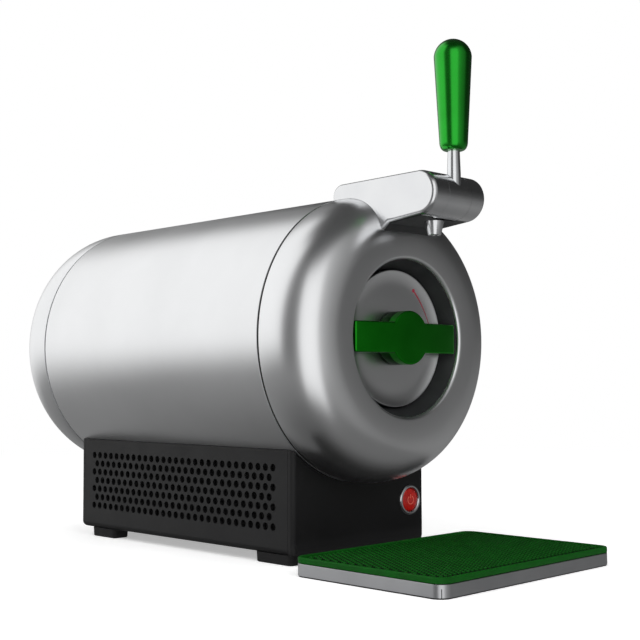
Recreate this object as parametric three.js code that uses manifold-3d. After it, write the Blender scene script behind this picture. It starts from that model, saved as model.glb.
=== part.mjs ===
// Countertop kegerator: a cooled barrel that lies on a vented base, with a domed door that carries
// the tap and the quarter-turn lock, and a loose drip tray in front.
// Lengths are millimetres and +Z is up. The front faces -Y, and x = 0 is the plane of symmetry.
// Pieces of the barrel are drawn from the middle of the front seam, on the barrel's axis.
// Pieces of the base and of the tray are drawn from the floor under that point.

import * as THREE from 'three';
import { mergeVertices } from 'three/addons/utils/BufferGeometryUtils.js';
import Module from 'manifold-3d';

const wasm = await Module();
wasm.setup();

// Shared fits
const gap = 0.3;
const runGap = 0.5;
const overrun = 6;

// Facet counts
const barrelSides = 40;
const ringSides = 24;
const smallSides = 12;
const gripSides = 16;
const hiddenSteps = 3;

// Barrel. Shares of the barrel's radius set the rings of its front.
const barrelRadius = 122;
const barrelClearance = 64;
const barrelLength = 315;
const shellWall = 2.5;
const seamEdge = 1.2;
const seamShadow = 0.5;
const rearSeam = 0.4;

const rearCap = {
  straight: 12.8,
  shoulderRise: 31.8,
  shoulderDepth: 43.4,
  spigotLength: 8,
  steps: 5,
};

const frontCap = {
  straight: 9,
  faceShare: 0.6721,
  shoulderDepth: 44,
  fullnessPower: 2.15,
  faceDome: 0.6,
  lipShare: 0.5492,
  lipFillet: 3,
  lipReturn: 7,
  steps: 8,
};

const mouth = {
  chamberShare: 0.541,
  fasciaDepth: 3,
  collarLength: 12,
};

const liner = {
  wall: 1.5,
  depth: 300,
  flangeWidth: 10,
};

const doorLiner = {
  plate: 2.6,
  setback: 3.4,
  plugClearance: 2,
  plugDepth: 12,
  plugWall: 2,
};

const gasket = {
  chamberClearance: 8,
  width: 6,
};

const doorFoam = {
  lipClearance: 4,
  capClearance: 11.5,
  frontSlope: 8,
  depth: 32,
};

const dish = {
  floorShare: 0.477,
  floorDepth: 20,
  rimDepth: 3.8,
  rimGap: 0.7,
  wall: 2,
  hubHole: 8.3,
};

const handle = {
  lipClearance: 5,
  halfHeight: 12.6,
  hubRadius: 22.5,
  crownHeight: 4.2,
  tipThickness: 3.8,
  proud: 0.6,
  crownSteps: 8,
};

const lock = {
  spindleRadius: 5,
  flangeRadius: 11,
  flangeThickness: 1.6,
  scrollRadius: 40,
  scrollThickness: 4,
  pinRadius: 2.5,
  pinOrbit: 34,
  turn: THREE.MathUtils.degToRad(60),
  slotSlack: THREE.MathUtils.degToRad(9),
  travel: 8,
  slotSteps: 10,
};

const bolt = {
  width: 14,
  thickness: 5,
  innerEnd: 14,
  tipClearance: 1.5,
  scrollGap: 1,
  guideWall: 2.5,
  guideClearance: 6,
  guideInnerEnd: 20,
};

const hinge = {
  knuckles: 3,
  knuckleRadius: 5,
  pinRadius: 2,
  knuckleLength: 20,
  leafThickness: 2,
  leafSetback: 9.5,
  pocketDepth: 9,
};

// Tap, seen from the top of the barrel at the seam
const tap = {
  halfWidth: 32.7,
  edge: 3.2,
  rearReach: 5.7,
  rearRound: 10,
  rearRise: 9,
  noseRadius: 18.2,
  noseForward: 90.5,
  noseDrop: 8.3,
  chinForward: 58.9,
  chinDrop: 29.8,
  throatForward: 51.9,
  throatDrop: 35.1,
  rootForward: 44,
  rootDrop: 44,
  rearSteps: 4,
  noseSteps: 12,
};

const spout = {
  forward: 80.5,
  radius: 8,
  wall: 1.5,
  endDrop: 39,
  seatDrop: 27.4,
};

// Lever and its grip, seen from the pin that they turn on
const lever = {
  hubHalfWidth: 14,
  pinRadius: 3,
  pinReach: 29,
  forward: 11,
  rodBase: 4.3,
  rodBaseRadius: 5.5,
  rodShoulder: 17.3,
  rodNeck: 38.3,
  rodRadius: 4.8,
  rodTop: 76.3,
};

const grip = {
  bottom: 36.3,
  bottomFlat: 8.2,
  bottomSwell: 10.3,
  bottomRadius: 11.5,
  bottomRound: 6,
  topRadius: 15.5,
  topCentre: 112.3,
  steps: 6,
};

// Base
const base = {
  halfWidth: 81,
  frontSetback: 3.3,
  length: 307.7,
  wall: 3,
  cornerRadius: 4,
  cornerReturn: 6,
  cornerSteps: 3,
  underside: 10.5,
  underRound: 5.5,
};

// Vents in the side covers. Their pitch follows from the base's length.
const vents = {
  columns: 29,
  rows: 7,
  rowPitch: 8.1,
  radiusShare: 0.343,
  frontInset: 24.1,
  rearInset: 22.36,
  bottomRowHeight: 30.6,
  sides: 4,
};

const foot = {
  width: 18,
  inset: 4,
  rearLength: 55,
  rearInset: 18,
  frontLength: 41,
  frontInset: 5.2,
};

const button = {
  sideInset: 19.2,
  height: 44,
  ringRadius: 12,
  ringProud: 1.3,
  sleeveRadius: 10.6,
  sleeveLength: 9,
  capRadius: 9,
  capProud: 1.5,
  capLength: 8,
  stroke: 2,
};

const inlet = {
  sideInset: 36,
  height: 36,
  width: 30,
  tall: 20,
  depth: 20,
  cavityWidth: 24,
  cavityTall: 13,
  cavityDepth: 15,
  pinRadius: 1.2,
  pinSpacing: 8.6,
  pinLength: 9,
  flange: 3,
  flangeThickness: 1.5,
};

// Cooling. Shares are of the base's length.
const cooler = {
  blockHalfWidth: 25,
  blockLength: 50,
  placeShare: 0.50926,
  blockDrop: 4,
  module: 40,
  moduleThickness: 4,
  sinkHalfWidth: 34,
  sinkLengthShare: 0.312,
  sinkPlate: 5,
  finHeight: 28,
  finThickness: 1.6,
  fins: 9,
};

const fan = {
  size: 46,
  thickness: 14,
  boreRadius: 21,
  hubRadius: 8,
  bladeCount: 7,
  bladeThickness: 1.2,
  bladeChord: 9,
  bladePitch: THREE.MathUtils.degToRad(40),
  sinkGap: 4,
  motorRadius: 7,
  motorThickness: 3,
  strutWidth: 3,
};

const boards = {
  thickness: 1.6,
  standoff: 6,
  standoffRadius: 3,
  controlWidth: 60,
  controlLengthShare: 0.2275,
  controlInsetShare: 0.0715,
  chipHeight: 7,
  chipSize: 18,
  supplyWidth: 60,
  supplyLengthShare: 0.2145,
  supplyHeight: 34,
  supplyInsetShare: 0.0845,
};

// Drip tray
const tray = {
  halfWidth: 108,
  front: 174.7,
  back: 25.1,
  cornerRadius: 10,
  skirtBottom: 0.8,
  skirtTop: 10.2,
  skirtWall: 1,
  panWall: 1.6,
  panFloor: 2,
  panTop: 9.6,
  lineInset: 0.5,
  slit: 0.8,
  cornerSteps: 4,
};

const mat = {
  bottom: 10.5,
  field: 12.4,
  top: 15.1,
  rim: 3,
  nubRadius: 1.9,
  nubTopRise: 2.4,
  margin: 6,
  pitchAcross: 20,
  pitchAlong: 15,
  nubSides: 3,
};

const colours = {
  satinSilver: [0xb9babb, 0.38, 0.85],
  castSilver: [0xc4c5c6, 0.34, 0.85],
  chrome: [0xd8dadc, 0.08, 1],
  steel: [0x9a9c9e, 0.3, 0.95],
  aluminium: [0xa8abad, 0.45, 0.9],
  blackPlastic: [0x1c1c1d, 0.6, 0],
  greyPlastic: [0x55585a, 0.6, 0],
  rubber: [0x101011, 0.85, 0],
  greenPaint: [0x0a4a12, 0.35, 0.3],
  candyGreen: [0x1c8a24, 0.22, 0.6],
  greenRubber: [0x0b4513, 0.7, 0],
  redLens: [0xb02318, 0.25, 0],
  foam: [0xe6e2d6, 0.95, 0],
  board: [0x1f5b35, 0.6, 0],
  ceramic: [0xe9e9e4, 0.7, 0],
};

// Turns a closed geometry into a solid for joining and cutting, with its faces turned outwards.
function solid(geometry) {
  const bare = geometry.clone();
  bare.deleteAttribute('normal');
  bare.deleteAttribute('uv');
  const merged = mergeVertices(bare);
  const points = merged.attributes.position.array;
  const index = merged.index.array;
  const faces = [];
  let volume = 0;
  const [a, b, c] = [new THREE.Vector3(), new THREE.Vector3(), new THREE.Vector3()];
  for (let i = 0; i < index.length; i += 3) {
    const [ia, ib, ic] = [index[i], index[i + 1], index[i + 2]];
    if (ia === ib || ib === ic || ic === ia) continue;
    faces.push(ia, ib, ic);
    a.fromArray(points, 3 * ia);
    b.fromArray(points, 3 * ib);
    c.fromArray(points, 3 * ic);
    volume += a.dot(b.cross(c));
  }
  if (volume < 0) faces.reverse();
  const mesh = new wasm.Mesh({
    numProp: 3,
    vertProperties: new Float32Array(points),
    triVerts: new Uint32Array(faces),
  });
  return new wasm.Manifold(mesh);
}

// Names a finished solid, gives it a material of its own and makes it a mesh.
function piece(name, body, [color, roughness, metalness]) {
  const { vertProperties, triVerts } = body.getMesh();
  const geometry = new THREE.BufferGeometry();
  geometry.setAttribute('position', new THREE.BufferAttribute(vertProperties, 3));
  geometry.setIndex(new THREE.BufferAttribute(triVerts, 1));
  geometry.computeVertexNormals();
  const mesh = new THREE.Mesh(geometry, new THREE.MeshStandardMaterial({ color, roughness, metalness }));
  mesh.name = name;
  return mesh;
}

function unite(bodies) {
  return bodies.reduce((sum, body) => sum.add(body));
}

function group(children, x = 0, y = 0, z = 0) {
  const result = new THREE.Group();
  result.position.set(x, y, z);
  result.add(...children);
  return result;
}

// Closed profile of [radius, distance along the axis] points, turned about the Y axis.
function lathe(profile, sides) {
  const points = [...profile, profile[0]].map(([radius, along]) => new THREE.Vector2(radius, along));
  return new THREE.LatheGeometry(points, sides);
}

function turnedAlongY(profile, sides) {
  return solid(lathe(profile, sides));
}

function turnedAlongZ(profile, sides) {
  return solid(lathe(profile, sides).rotateX(Math.PI / 2));
}

function rodProfile(radius, from, to) {
  return [[0, from], [radius, from], [radius, to], [0, to]];
}

function tubeProfile(inner, outer, from, to) {
  return [[inner, from], [outer, from], [outer, to], [inner, to]];
}

// Rod along one axis whose middle line passes through a point.
function rod(axis, radius, from, to, sides, [x, y, z]) {
  const geometry = new THREE.CylinderGeometry(radius, radius, to - from, sides);
  geometry.translate(0, (from + to) / 2, 0);
  if (axis === 'x') geometry.rotateZ(-Math.PI / 2);
  if (axis === 'z') geometry.rotateX(Math.PI / 2);
  return solid(geometry.translate(x, y, z));
}

function block([x0, x1], [y0, y1], [z0, z1]) {
  const geometry = new THREE.BoxGeometry(x1 - x0, y1 - y0, z1 - z0);
  return solid(geometry.translate((x0 + x1) / 2, (y0 + y1) / 2, (z0 + z1) / 2));
}

// Outline drawn in Y and Z, extruded along X.
function extrudeAlongX(shape, from, to, options = {}) {
  const basis = new THREE.Matrix4().makeBasis(
    new THREE.Vector3(0, 1, 0),
    new THREE.Vector3(0, 0, 1),
    new THREE.Vector3(1, 0, 0),
  );
  const settings = { depth: to - from, bevelEnabled: false, curveSegments: smallSides, ...options };
  const geometry = new THREE.ExtrudeGeometry(shape, settings);
  return solid(geometry.applyMatrix4(basis).translate(from, 0, 0));
}

// Outline drawn in X and Z, extruded from its rear face towards the front.
function extrudeForward(shape, rear, front) {
  const basis = new THREE.Matrix4().makeBasis(
    new THREE.Vector3(1, 0, 0),
    new THREE.Vector3(0, 0, 1),
    new THREE.Vector3(0, -1, 0),
  );
  const geometry = new THREE.ExtrudeGeometry(shape, { depth: rear - front, bevelEnabled: false });
  return solid(geometry.applyMatrix4(basis).translate(0, rear, 0));
}

function extrudeUp(shape, from, to) {
  const geometry = new THREE.ExtrudeGeometry(shape, { depth: to - from, bevelEnabled: false });
  return solid(geometry.translate(0, 0, from));
}

// Rectangle with round corners, as the points of a closed outline.
function roundedOutline([x0, x1], [y0, y1], radius, steps) {
  const corners = [
    [x1 - radius, y0 + radius, -Math.PI / 2],
    [x1 - radius, y1 - radius, 0],
    [x0 + radius, y1 - radius, Math.PI / 2],
    [x0 + radius, y0 + radius, Math.PI],
  ];
  const points = [];
  for (const [cx, cy, start] of corners) {
    for (let i = 0; i <= steps; i += 1) {
      const angle = start + (Math.PI / 2) * (i / steps);
      points.push(new THREE.Vector2(cx + radius * Math.cos(angle), cy + radius * Math.sin(angle)));
    }
  }
  return new THREE.Shape(points);
}

function outline(points) {
  return new THREE.Shape(points.map(([x, y]) => new THREE.Vector2(x, y)));
}

// Quarter of a superellipse between a cylinder and a flat face, from the cylinder to the face.
function shoulder(outerRadius, start, rise, depth, direction, power, steps) {
  const points = [];
  for (let i = 0; i <= steps; i += 1) {
    const angle = (Math.PI / 2) * (i / steps);
    const radius = outerRadius - rise * (1 - Math.cos(angle) ** (2 / power));
    points.push([radius, start + direction * depth * Math.sin(angle) ** (2 / power)]);
  }
  return points;
}

// Places that several pieces share, on the barrel's axis and door
const axisHeight = barrelClearance + barrelRadius;
const seamHalf = seamEdge / 2 + seamShadow;
const shellInner = barrelRadius - shellWall;
const chamberRadius = barrelRadius * mouth.chamberShare;
const lipRadius = barrelRadius * frontCap.lipShare;
const dishRadius = barrelRadius * dish.floorShare;
const capRise = barrelRadius * (1 - frontCap.faceShare);
const domeForward = frontCap.straight + frontCap.shoulderDepth + frontCap.faceDome;
const dishFloor = -(domeForward - dish.floorDepth);
const plugRadius = chamberRadius - doorLiner.plugClearance;
const plugInner = plugRadius - doorLiner.plugWall;
const hingeOffset = barrelRadius - hinge.knuckleRadius;
const hingeHalf = (hinge.knuckles * hinge.knuckleLength) / 2;
const pocketHalf = Math.sqrt(barrelRadius ** 2 - hingeOffset ** 2) + runGap;
const spindleFront = -(domeForward - 2 * lock.spindleRadius);
const scrollRear = 0;
const boltFront = scrollRear + bolt.scrollGap + gap;

// Places that several pieces share, in the base
const baseFront = base.frontSetback;
const baseRear = base.frontSetback + base.length;
const sideFront = baseFront + base.cornerReturn + gap;
const sideRear = baseRear - base.cornerReturn - gap;
const floorTop = base.underside + base.wall;
const coolerMiddle = baseFront + cooler.placeShare * base.length;
const coldFront = coolerMiddle - cooler.blockLength / 2;
const coldRear = coolerMiddle + cooler.blockLength / 2;
const buttonX = base.halfWidth - button.sideInset;
const inletX = inlet.sideInset - base.halfWidth;

// Outer surface of the front cap, from the seam to the lip, with an allowance added all round.
function frontCapOuter(allowance) {
  const fillet = frontCap.lipFillet;
  const points = [[barrelRadius + allowance, -seamHalf]];
  points.push(...shoulder(
    barrelRadius + allowance,
    -frontCap.straight,
    capRise,
    frontCap.shoulderDepth + allowance,
    -1,
    frontCap.fullnessPower,
    frontCap.steps,
  ));
  points.push([lipRadius + fillet, -domeForward - allowance]);
  return points;
}

function buildFrontCap() {
  const fillet = frontCap.lipFillet;
  const chamfer = fillet * (1 - Math.SQRT1_2);
  const returnEnd = -(domeForward - frontCap.lipReturn);
  const inner = shoulder(
    shellInner,
    -frontCap.straight,
    capRise,
    frontCap.shoulderDepth - shellWall,
    -1,
    frontCap.fullnessPower,
    hiddenSteps,
  ).reverse();
  const profile = [
    ...frontCapOuter(0),
    [lipRadius + chamfer, -domeForward + chamfer],
    [lipRadius, -domeForward + fillet],
    [lipRadius, returnEnd],
    [lipRadius + shellWall, returnEnd],
    [lipRadius + shellWall, -domeForward + shellWall],
    ...inner,
    [shellInner, -seamHalf],
  ];
  const cap = turnedAlongY(profile, barrelSides).subtract(hingePocket());
  return piece('front_cap', cap, colours.satinSilver);
}

// Space that the hinge takes out of the shell, the mouth ring and the door on the right-hand side.
function hingePocket() {
  const inner = hingeOffset - hinge.knuckleRadius - hinge.leafThickness - runGap;
  return block(
    [inner, barrelRadius + overrun],
    [-hinge.pocketDepth, hinge.pocketDepth],
    [-pocketHalf, pocketHalf],
  );
}

// Hole under the barrel where the cold block comes up to the chamber.
function coldWell() {
  const half = cooler.blockHalfWidth + runGap;
  return block(
    [-half, half],
    [coldFront - runGap, coldRear + runGap],
    [-barrelRadius - overrun, -liner.wall],
  );
}

function buildBarrelShell() {
  const tube = turnedAlongY(
    tubeProfile(shellInner, barrelRadius, seamHalf, barrelLength),
    barrelSides,
  );
  return piece('barrel_shell', tube.subtract(hingePocket()).subtract(coldWell()), colours.satinSilver);
}

function buildRearCap() {
  const start = barrelLength + rearSeam;
  const outer = shoulder(
    barrelRadius,
    start + rearCap.straight,
    rearCap.shoulderRise,
    rearCap.shoulderDepth,
    1,
    2,
    rearCap.steps,
  );
  const inner = shoulder(
    shellInner,
    start + rearCap.straight,
    rearCap.shoulderRise,
    rearCap.shoulderDepth - shellWall,
    1,
    2,
    hiddenSteps,
  ).reverse();
  const end = start + rearCap.straight + rearCap.shoulderDepth;
  const spigot = shellInner - gap;
  const profile = [
    [barrelRadius, start],
    ...outer,
    [0, end],
    [0, end - shellWall],
    ...inner,
    [spigot - shellWall, start + shellWall],
    [spigot - shellWall, start - rearCap.spigotLength],
    [spigot, start - rearCap.spigotLength],
    [spigot, start],
  ];
  return piece('rear_cap', turnedAlongY(profile, barrelSides), colours.satinSilver);
}

function buildMouthRing() {
  const collar = shellInner - gap;
  const edge = barrelRadius - gap;
  const profile = [
    [chamberRadius, -seamEdge / 2],
    [edge, -seamEdge / 2],
    [edge, seamEdge / 2],
    [collar, seamEdge / 2],
    [collar, mouth.collarLength],
    [collar - shellWall, mouth.collarLength],
    [collar - shellWall, mouth.fasciaDepth],
    [chamberRadius, mouth.fasciaDepth],
  ];
  const ring = turnedAlongY(profile, barrelSides).subtract(hingePocket());
  return piece('mouth_ring', ring, colours.blackPlastic);
}

function buildKegLiner() {
  const front = mouth.fasciaDepth + gap;
  const outer = chamberRadius + liner.wall;
  const profile = [
    [chamberRadius, front],
    [outer + liner.flangeWidth, front],
    [outer + liner.flangeWidth, front + liner.wall],
    [outer, front + liner.wall],
    [outer, liner.depth],
    [0, liner.depth],
    [0, liner.depth - liner.wall],
    [chamberRadius, liner.depth - liner.wall],
  ];
  return piece('keg_liner', turnedAlongY(profile, ringSides), colours.aluminium);
}

function buildInsulation() {
  const inner = chamberRadius + liner.wall + gap;
  const outer = shellInner - 2 * gap;
  const front = mouth.collarLength + gap;
  const rear = barrelLength + rearSeam - rearCap.spigotLength - gap;
  const profile = [
    [inner, front],
    [outer, front],
    [outer, rear],
    [0, rear],
    [0, liner.depth + gap],
    [inner, liner.depth + gap],
  ];
  return piece('insulation_sleeve', turnedAlongY(profile, ringSides).subtract(coldWell()), colours.foam);
}

function buildDoorLiner() {
  const rear = -doorLiner.setback;
  const front = rear - doorLiner.plate;
  const outer = shellInner - gap;
  const profile = [
    [outer, front],
    [outer, rear],
    [plugRadius, rear],
    [plugRadius, doorLiner.plugDepth],
    [0, doorLiner.plugDepth],
    [0, doorLiner.plugDepth - doorLiner.plugWall],
    [plugInner, doorLiner.plugDepth - doorLiner.plugWall],
    [plugInner, front],
  ];
  const window = block(
    [-plugRadius - overrun, -plugInner + overrun],
    [boltFront - runGap, boltFront + bolt.thickness + runGap],
    [-bolt.width / 2 - runGap, bolt.width / 2 + runGap],
  );
  const body = turnedAlongY(profile, barrelSides).subtract(hingePocket()).subtract(window);
  return piece('door_liner', body, colours.greyPlastic);
}

function buildDoorGasket() {
  const front = -doorLiner.setback;
  const inner = chamberRadius + gasket.chamberClearance;
  const profile = tubeProfile(inner, inner + gasket.width, front, -seamEdge / 2 - gap);
  return piece('door_gasket', turnedAlongY(profile, ringSides), colours.rubber);
}

function buildDoorFoam() {
  const rear = -doorLiner.setback - doorLiner.plate - gap;
  const front = rear - doorFoam.depth;
  const inner = lipRadius + doorFoam.lipClearance;
  const outer = shellInner - doorFoam.capClearance;
  const profile = [
    [inner, rear],
    [outer, rear],
    [outer, front + doorFoam.depth / 2],
    [outer - doorFoam.frontSlope, front],
    [inner, front],
  ];
  return piece('door_foam', turnedAlongY(profile, ringSides), colours.foam);
}

// Recess in the middle of the cap: a cone down to the flat disc that the handle turns over.
function buildLockDish() {
  const rim = lipRadius - dish.rimGap;
  const rimFront = -(domeForward - dish.rimDepth);
  const profile = [
    [rim, rimFront],
    [dishRadius, dishFloor],
    [dish.hubHole, dishFloor],
    [dish.hubHole, dishFloor + dish.wall],
    [dishRadius + dish.wall / 2, dishFloor + dish.wall],
    [rim, rimFront + 2 * dish.wall],
  ];
  return piece('lock_dish', turnedAlongY(profile, barrelSides), colours.satinSilver);
}

function buildSpindleBush() {
  const bore = lock.spindleRadius + runGap;
  const outer = dish.hubHole - gap;
  const front = dishFloor - lock.flangeThickness;
  const profile = [
    [bore, front],
    [lock.flangeRadius, front],
    [lock.flangeRadius, dishFloor - gap / 2],
    [outer, dishFloor - gap / 2],
    [outer, dishFloor + 2 * dish.wall],
    [bore, dishFloor + 2 * dish.wall],
  ];
  return piece('spindle_bush', turnedAlongY(profile, smallSides), colours.greyPlastic);
}

// Bar with a round hub. Its front is one shallow arch from tip to tip, level with the cap's lip.
function buildLockHandle() {
  const halfLength = lipRadius - handle.lipClearance;
  const front = -(domeForward + handle.proud);
  const tipFront = front + handle.crownHeight;
  const barRear = tipFront + handle.tipThickness;
  const radius = (halfLength ** 2 + handle.crownHeight ** 2) / (2 * handle.crownHeight);
  const sweep = Math.asin(halfLength / radius);
  const arch = [];
  for (let i = 0; i <= handle.crownSteps; i += 1) {
    const angle = sweep * (2 * (i / handle.crownSteps) - 1);
    arch.push([radius * Math.sin(angle), front + radius * (1 - Math.cos(angle))]);
  }
  const barPlan = outline([...arch, [halfLength, barRear], [-halfLength, barRear]]);
  const bar = extrudeUp(barPlan, -handle.halfHeight, handle.halfHeight);
  const hubRear = dishFloor - lock.flangeThickness - runGap;
  const hubPlan = outline([...arch, [halfLength, hubRear], [-halfLength, hubRear]]);
  const hubLimit = extrudeUp(hubPlan, -handle.hubRadius - overrun, handle.hubRadius + overrun);
  const drum = rod('y', handle.hubRadius, front - overrun, hubRear, ringSides, [0, 0, 0]);
  const hub = drum.intersect(hubLimit);
  const socketRadius = lock.spindleRadius + gap;
  const socket = rod('y', socketRadius, spindleFront - gap, hubRear + overrun, smallSides, [0, 0, 0]);
  return piece('lock_handle', bar.add(hub).subtract(socket), colours.greenPaint);
}

function buildSpindle() {
  const rear = scrollRear - lock.scrollThickness - gap;
  const body = rod('y', lock.spindleRadius, spindleFront, rear, smallSides, [0, 0, 0]);
  return piece('lock_spindle', body, colours.steel);
}

// Disc with a spiral slot. Each degree of turn draws the bolt's follower pin in by the same amount.
function buildScrollDisc() {
  const perRadian = lock.travel / lock.turn;
  const half = lock.pinRadius + runGap;
  const outerEdge = [];
  const innerEdge = [];
  for (let i = 0; i <= lock.slotSteps; i += 1) {
    const turned = -lock.slotSlack + (lock.turn + 2 * lock.slotSlack) * (i / lock.slotSteps);
    const orbit = lock.pinOrbit - perRadian * turned;
    const angle = Math.PI - turned;
    outerEdge.push([(orbit + half) * Math.cos(angle), (orbit + half) * Math.sin(angle)]);
    innerEdge.unshift([(orbit - half) * Math.cos(angle), (orbit - half) * Math.sin(angle)]);
  }
  const rear = scrollRear + overrun;
  const discFront = scrollRear - lock.scrollThickness;
  const slot = extrudeForward(outline([...outerEdge, ...innerEdge]), rear, discFront - overrun);
  const disc = rod('y', lock.scrollRadius, discFront, scrollRear, ringSides, [0, 0, 0]);
  return piece('scroll_disc', disc.subtract(slot), colours.steel);
}

function buildLatchBolt() {
  const tip = -(chamberRadius - bolt.tipClearance);
  const bar = block(
    [tip, -bolt.innerEnd],
    [boltFront, boltFront + bolt.thickness],
    [-bolt.width / 2, bolt.width / 2],
  );
  const pinFront = scrollRear - lock.scrollThickness;
  const pinRear = boltFront + bolt.thickness / 2;
  const pin = rod('y', lock.pinRadius, pinFront, pinRear, smallSides, [-lock.pinOrbit, 0, 0]);
  return piece('latch_bolt', bar.add(pin), colours.steel);
}

function buildBoltGuide() {
  const floor = doorLiner.plugDepth - doorLiner.plugWall - gap;
  const outerEnd = plugInner - bolt.guideClearance;
  const inner = bolt.width / 2 + gap;
  const outer = inner + bolt.guideWall;
  const channel = block([-outerEnd, -bolt.guideInnerEnd], [boltFront, floor], [-outer, outer]);
  const slot = block(
    [-outerEnd - overrun, -bolt.guideInnerEnd + overrun],
    [boltFront - overrun, boltFront + bolt.thickness + gap],
    [-inner, inner],
  );
  return piece('bolt_guide', channel.subtract(slot), colours.greyPlastic);
}

// One hinge leaf: a plate that ends in knuckles around the pin.
function buildHingeLeaf(name, plateY, knuckles) {
  const far = chamberRadius + liner.wall + liner.flangeWidth + hinge.leafSetback;
  const near = hingeOffset - hinge.knuckleRadius - hinge.leafThickness;
  const bodies = [block([far, near], plateY, [-hingeHalf, hingeHalf])];
  for (const [low, high] of knuckles) {
    bodies.push(rod('z', hinge.knuckleRadius, low, high, smallSides, [hingeOffset, 0, 0]));
    bodies.push(block([near, hingeOffset - hinge.pinRadius - runGap], plateY, [low, high]));
  }
  const boreEnd = hingeHalf + overrun;
  const bore = rod('z', hinge.pinRadius + gap, -boreEnd, boreEnd, smallSides, [hingeOffset, 0, 0]);
  return piece(name, unite(bodies).subtract(bore), colours.steel);
}

function buildHinge() {
  const half = hinge.knuckleLength / 2;
  const fixedPlate = [mouth.fasciaDepth + gap, mouth.fasciaDepth + gap + hinge.leafThickness];
  const doorPlate = [-doorLiner.setback, -doorLiner.setback + hinge.leafThickness];
  const pin = rod('z', hinge.pinRadius, -hingeHalf, hingeHalf, smallSides, [hingeOffset, 0, 0]);
  return {
    fixed: buildHingeLeaf('hinge_leaf_fixed', fixedPlate, [[-hingeHalf, -half - gap], [half + gap, hingeHalf]]),
    door: buildHingeLeaf('hinge_leaf_door', doorPlate, [[-half, half]]),
    pin: piece('hinge_pin', pin, colours.steel),
  };
}

// Side outline of the tap: a rounded tail, a flat back and a round nose over a wedge-shaped chin.
function tapOutline() {
  const shape = new THREE.Shape();
  shape.moveTo(-tap.rootForward, -tap.rootDrop);
  shape.lineTo(tap.rearReach, -tap.rootDrop);
  for (let i = 0; i <= tap.rearSteps; i += 1) {
    const angle = (Math.PI / 2) * (i / tap.rearSteps);
    shape.lineTo(
      tap.rearReach - tap.rearRound * (1 - Math.cos(angle)),
      tap.rearRise - tap.rearRound * (1 - Math.sin(angle)),
    );
  }
  const chinAlong = tap.noseForward - tap.chinForward;
  const chinBelow = tap.chinDrop - tap.noseDrop;
  const tangent = Math.acos(tap.noseRadius / Math.hypot(chinAlong, chinBelow));
  const bottom = 2 * Math.PI - Math.atan2(chinBelow, chinAlong) - tangent;
  for (let i = 0; i <= tap.noseSteps; i += 1) {
    const angle = Math.PI / 2 + (bottom - Math.PI / 2) * (i / tap.noseSteps);
    shape.lineTo(
      -tap.noseForward + tap.noseRadius * Math.cos(angle),
      -tap.noseDrop + tap.noseRadius * Math.sin(angle),
    );
  }
  shape.lineTo(-tap.chinForward, -tap.chinDrop);
  shape.lineTo(-tap.throatForward, -tap.throatDrop);
  shape.closePath();
  return shape;
}

// Solid that the cap and the barrel fill, as seen from the top of the barrel, for shaping the tap's saddle.
function capEnvelope() {
  const profile = [
    [0, overrun + tap.rearReach],
    [barrelRadius + gap, overrun + tap.rearReach],
    ...frontCapOuter(gap),
    [0, -domeForward - gap],
  ];
  return turnedAlongY(profile, barrelSides).translate(0, 0, -barrelRadius);
}

function buildTapBody() {
  const blank = extrudeAlongX(tapOutline(), -tap.halfWidth + tap.edge, tap.halfWidth - tap.edge, {
    bevelEnabled: true,
    bevelThickness: tap.edge,
    bevelSize: tap.edge,
    bevelOffset: -tap.edge,
    bevelSegments: 2,
  });
  const hubSpace = lever.hubHalfWidth + gap;
  const nose = [0, -tap.noseForward, -tap.noseDrop];
  const fork = rod('x', tap.noseRadius + runGap, -hubSpace, hubSpace, ringSides, nose);
  const pinReach = lever.pinReach + gap;
  const pinHole = rod('x', lever.pinRadius + gap, -pinReach, pinReach, smallSides, nose);
  const seatTop = gap - spout.seatDrop;
  const seatPlace = [0, -spout.forward, 0];
  const seat = rod('z', spout.radius + gap, seatTop - 2 * overrun, seatTop, smallSides, seatPlace);
  const body = blank.subtract(capEnvelope()).subtract(fork).subtract(pinHole).subtract(seat);
  return piece('tap_body', body, colours.castSilver);
}

function buildSpout() {
  const bore = spout.radius - spout.wall;
  const profile = tubeProfile(bore, spout.radius, -spout.endDrop, -spout.seatDrop);
  return piece('spout', turnedAlongZ(profile, smallSides), colours.chrome);
}

function buildLeverPin() {
  const body = rod('x', lever.pinRadius, -lever.pinReach, lever.pinReach, smallSides, [0, 0, 0]);
  return piece('lever_pin', body, colours.steel);
}

// Drum between the fork's cheeks, which completes the round nose and carries the lever.
function buildLeverHub() {
  const half = lever.hubHalfWidth;
  const drum = rod('x', tap.noseRadius, -half, half, ringSides, [0, 0, 0]);
  const bore = rod('x', lever.pinRadius + runGap, -half - overrun, half + overrun, smallSides, [0, 0, 0]);
  const socketRadius = lever.rodBaseRadius + gap;
  const socketTop = tap.noseRadius + overrun;
  const socket = rod('z', socketRadius, lever.rodBase - gap, socketTop, smallSides, [0, -lever.forward, 0]);
  return piece('lever_hub', drum.subtract(bore).subtract(socket), colours.castSilver);
}

function buildLeverRod() {
  const profile = [
    [0, lever.rodBase],
    [lever.rodBaseRadius, lever.rodBase],
    [lever.rodBaseRadius, lever.rodShoulder],
    [lever.rodRadius, lever.rodNeck],
    [lever.rodRadius, lever.rodTop],
    [0, lever.rodTop],
  ];
  return piece('lever_rod', turnedAlongZ(profile, smallSides), colours.chrome);
}

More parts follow.
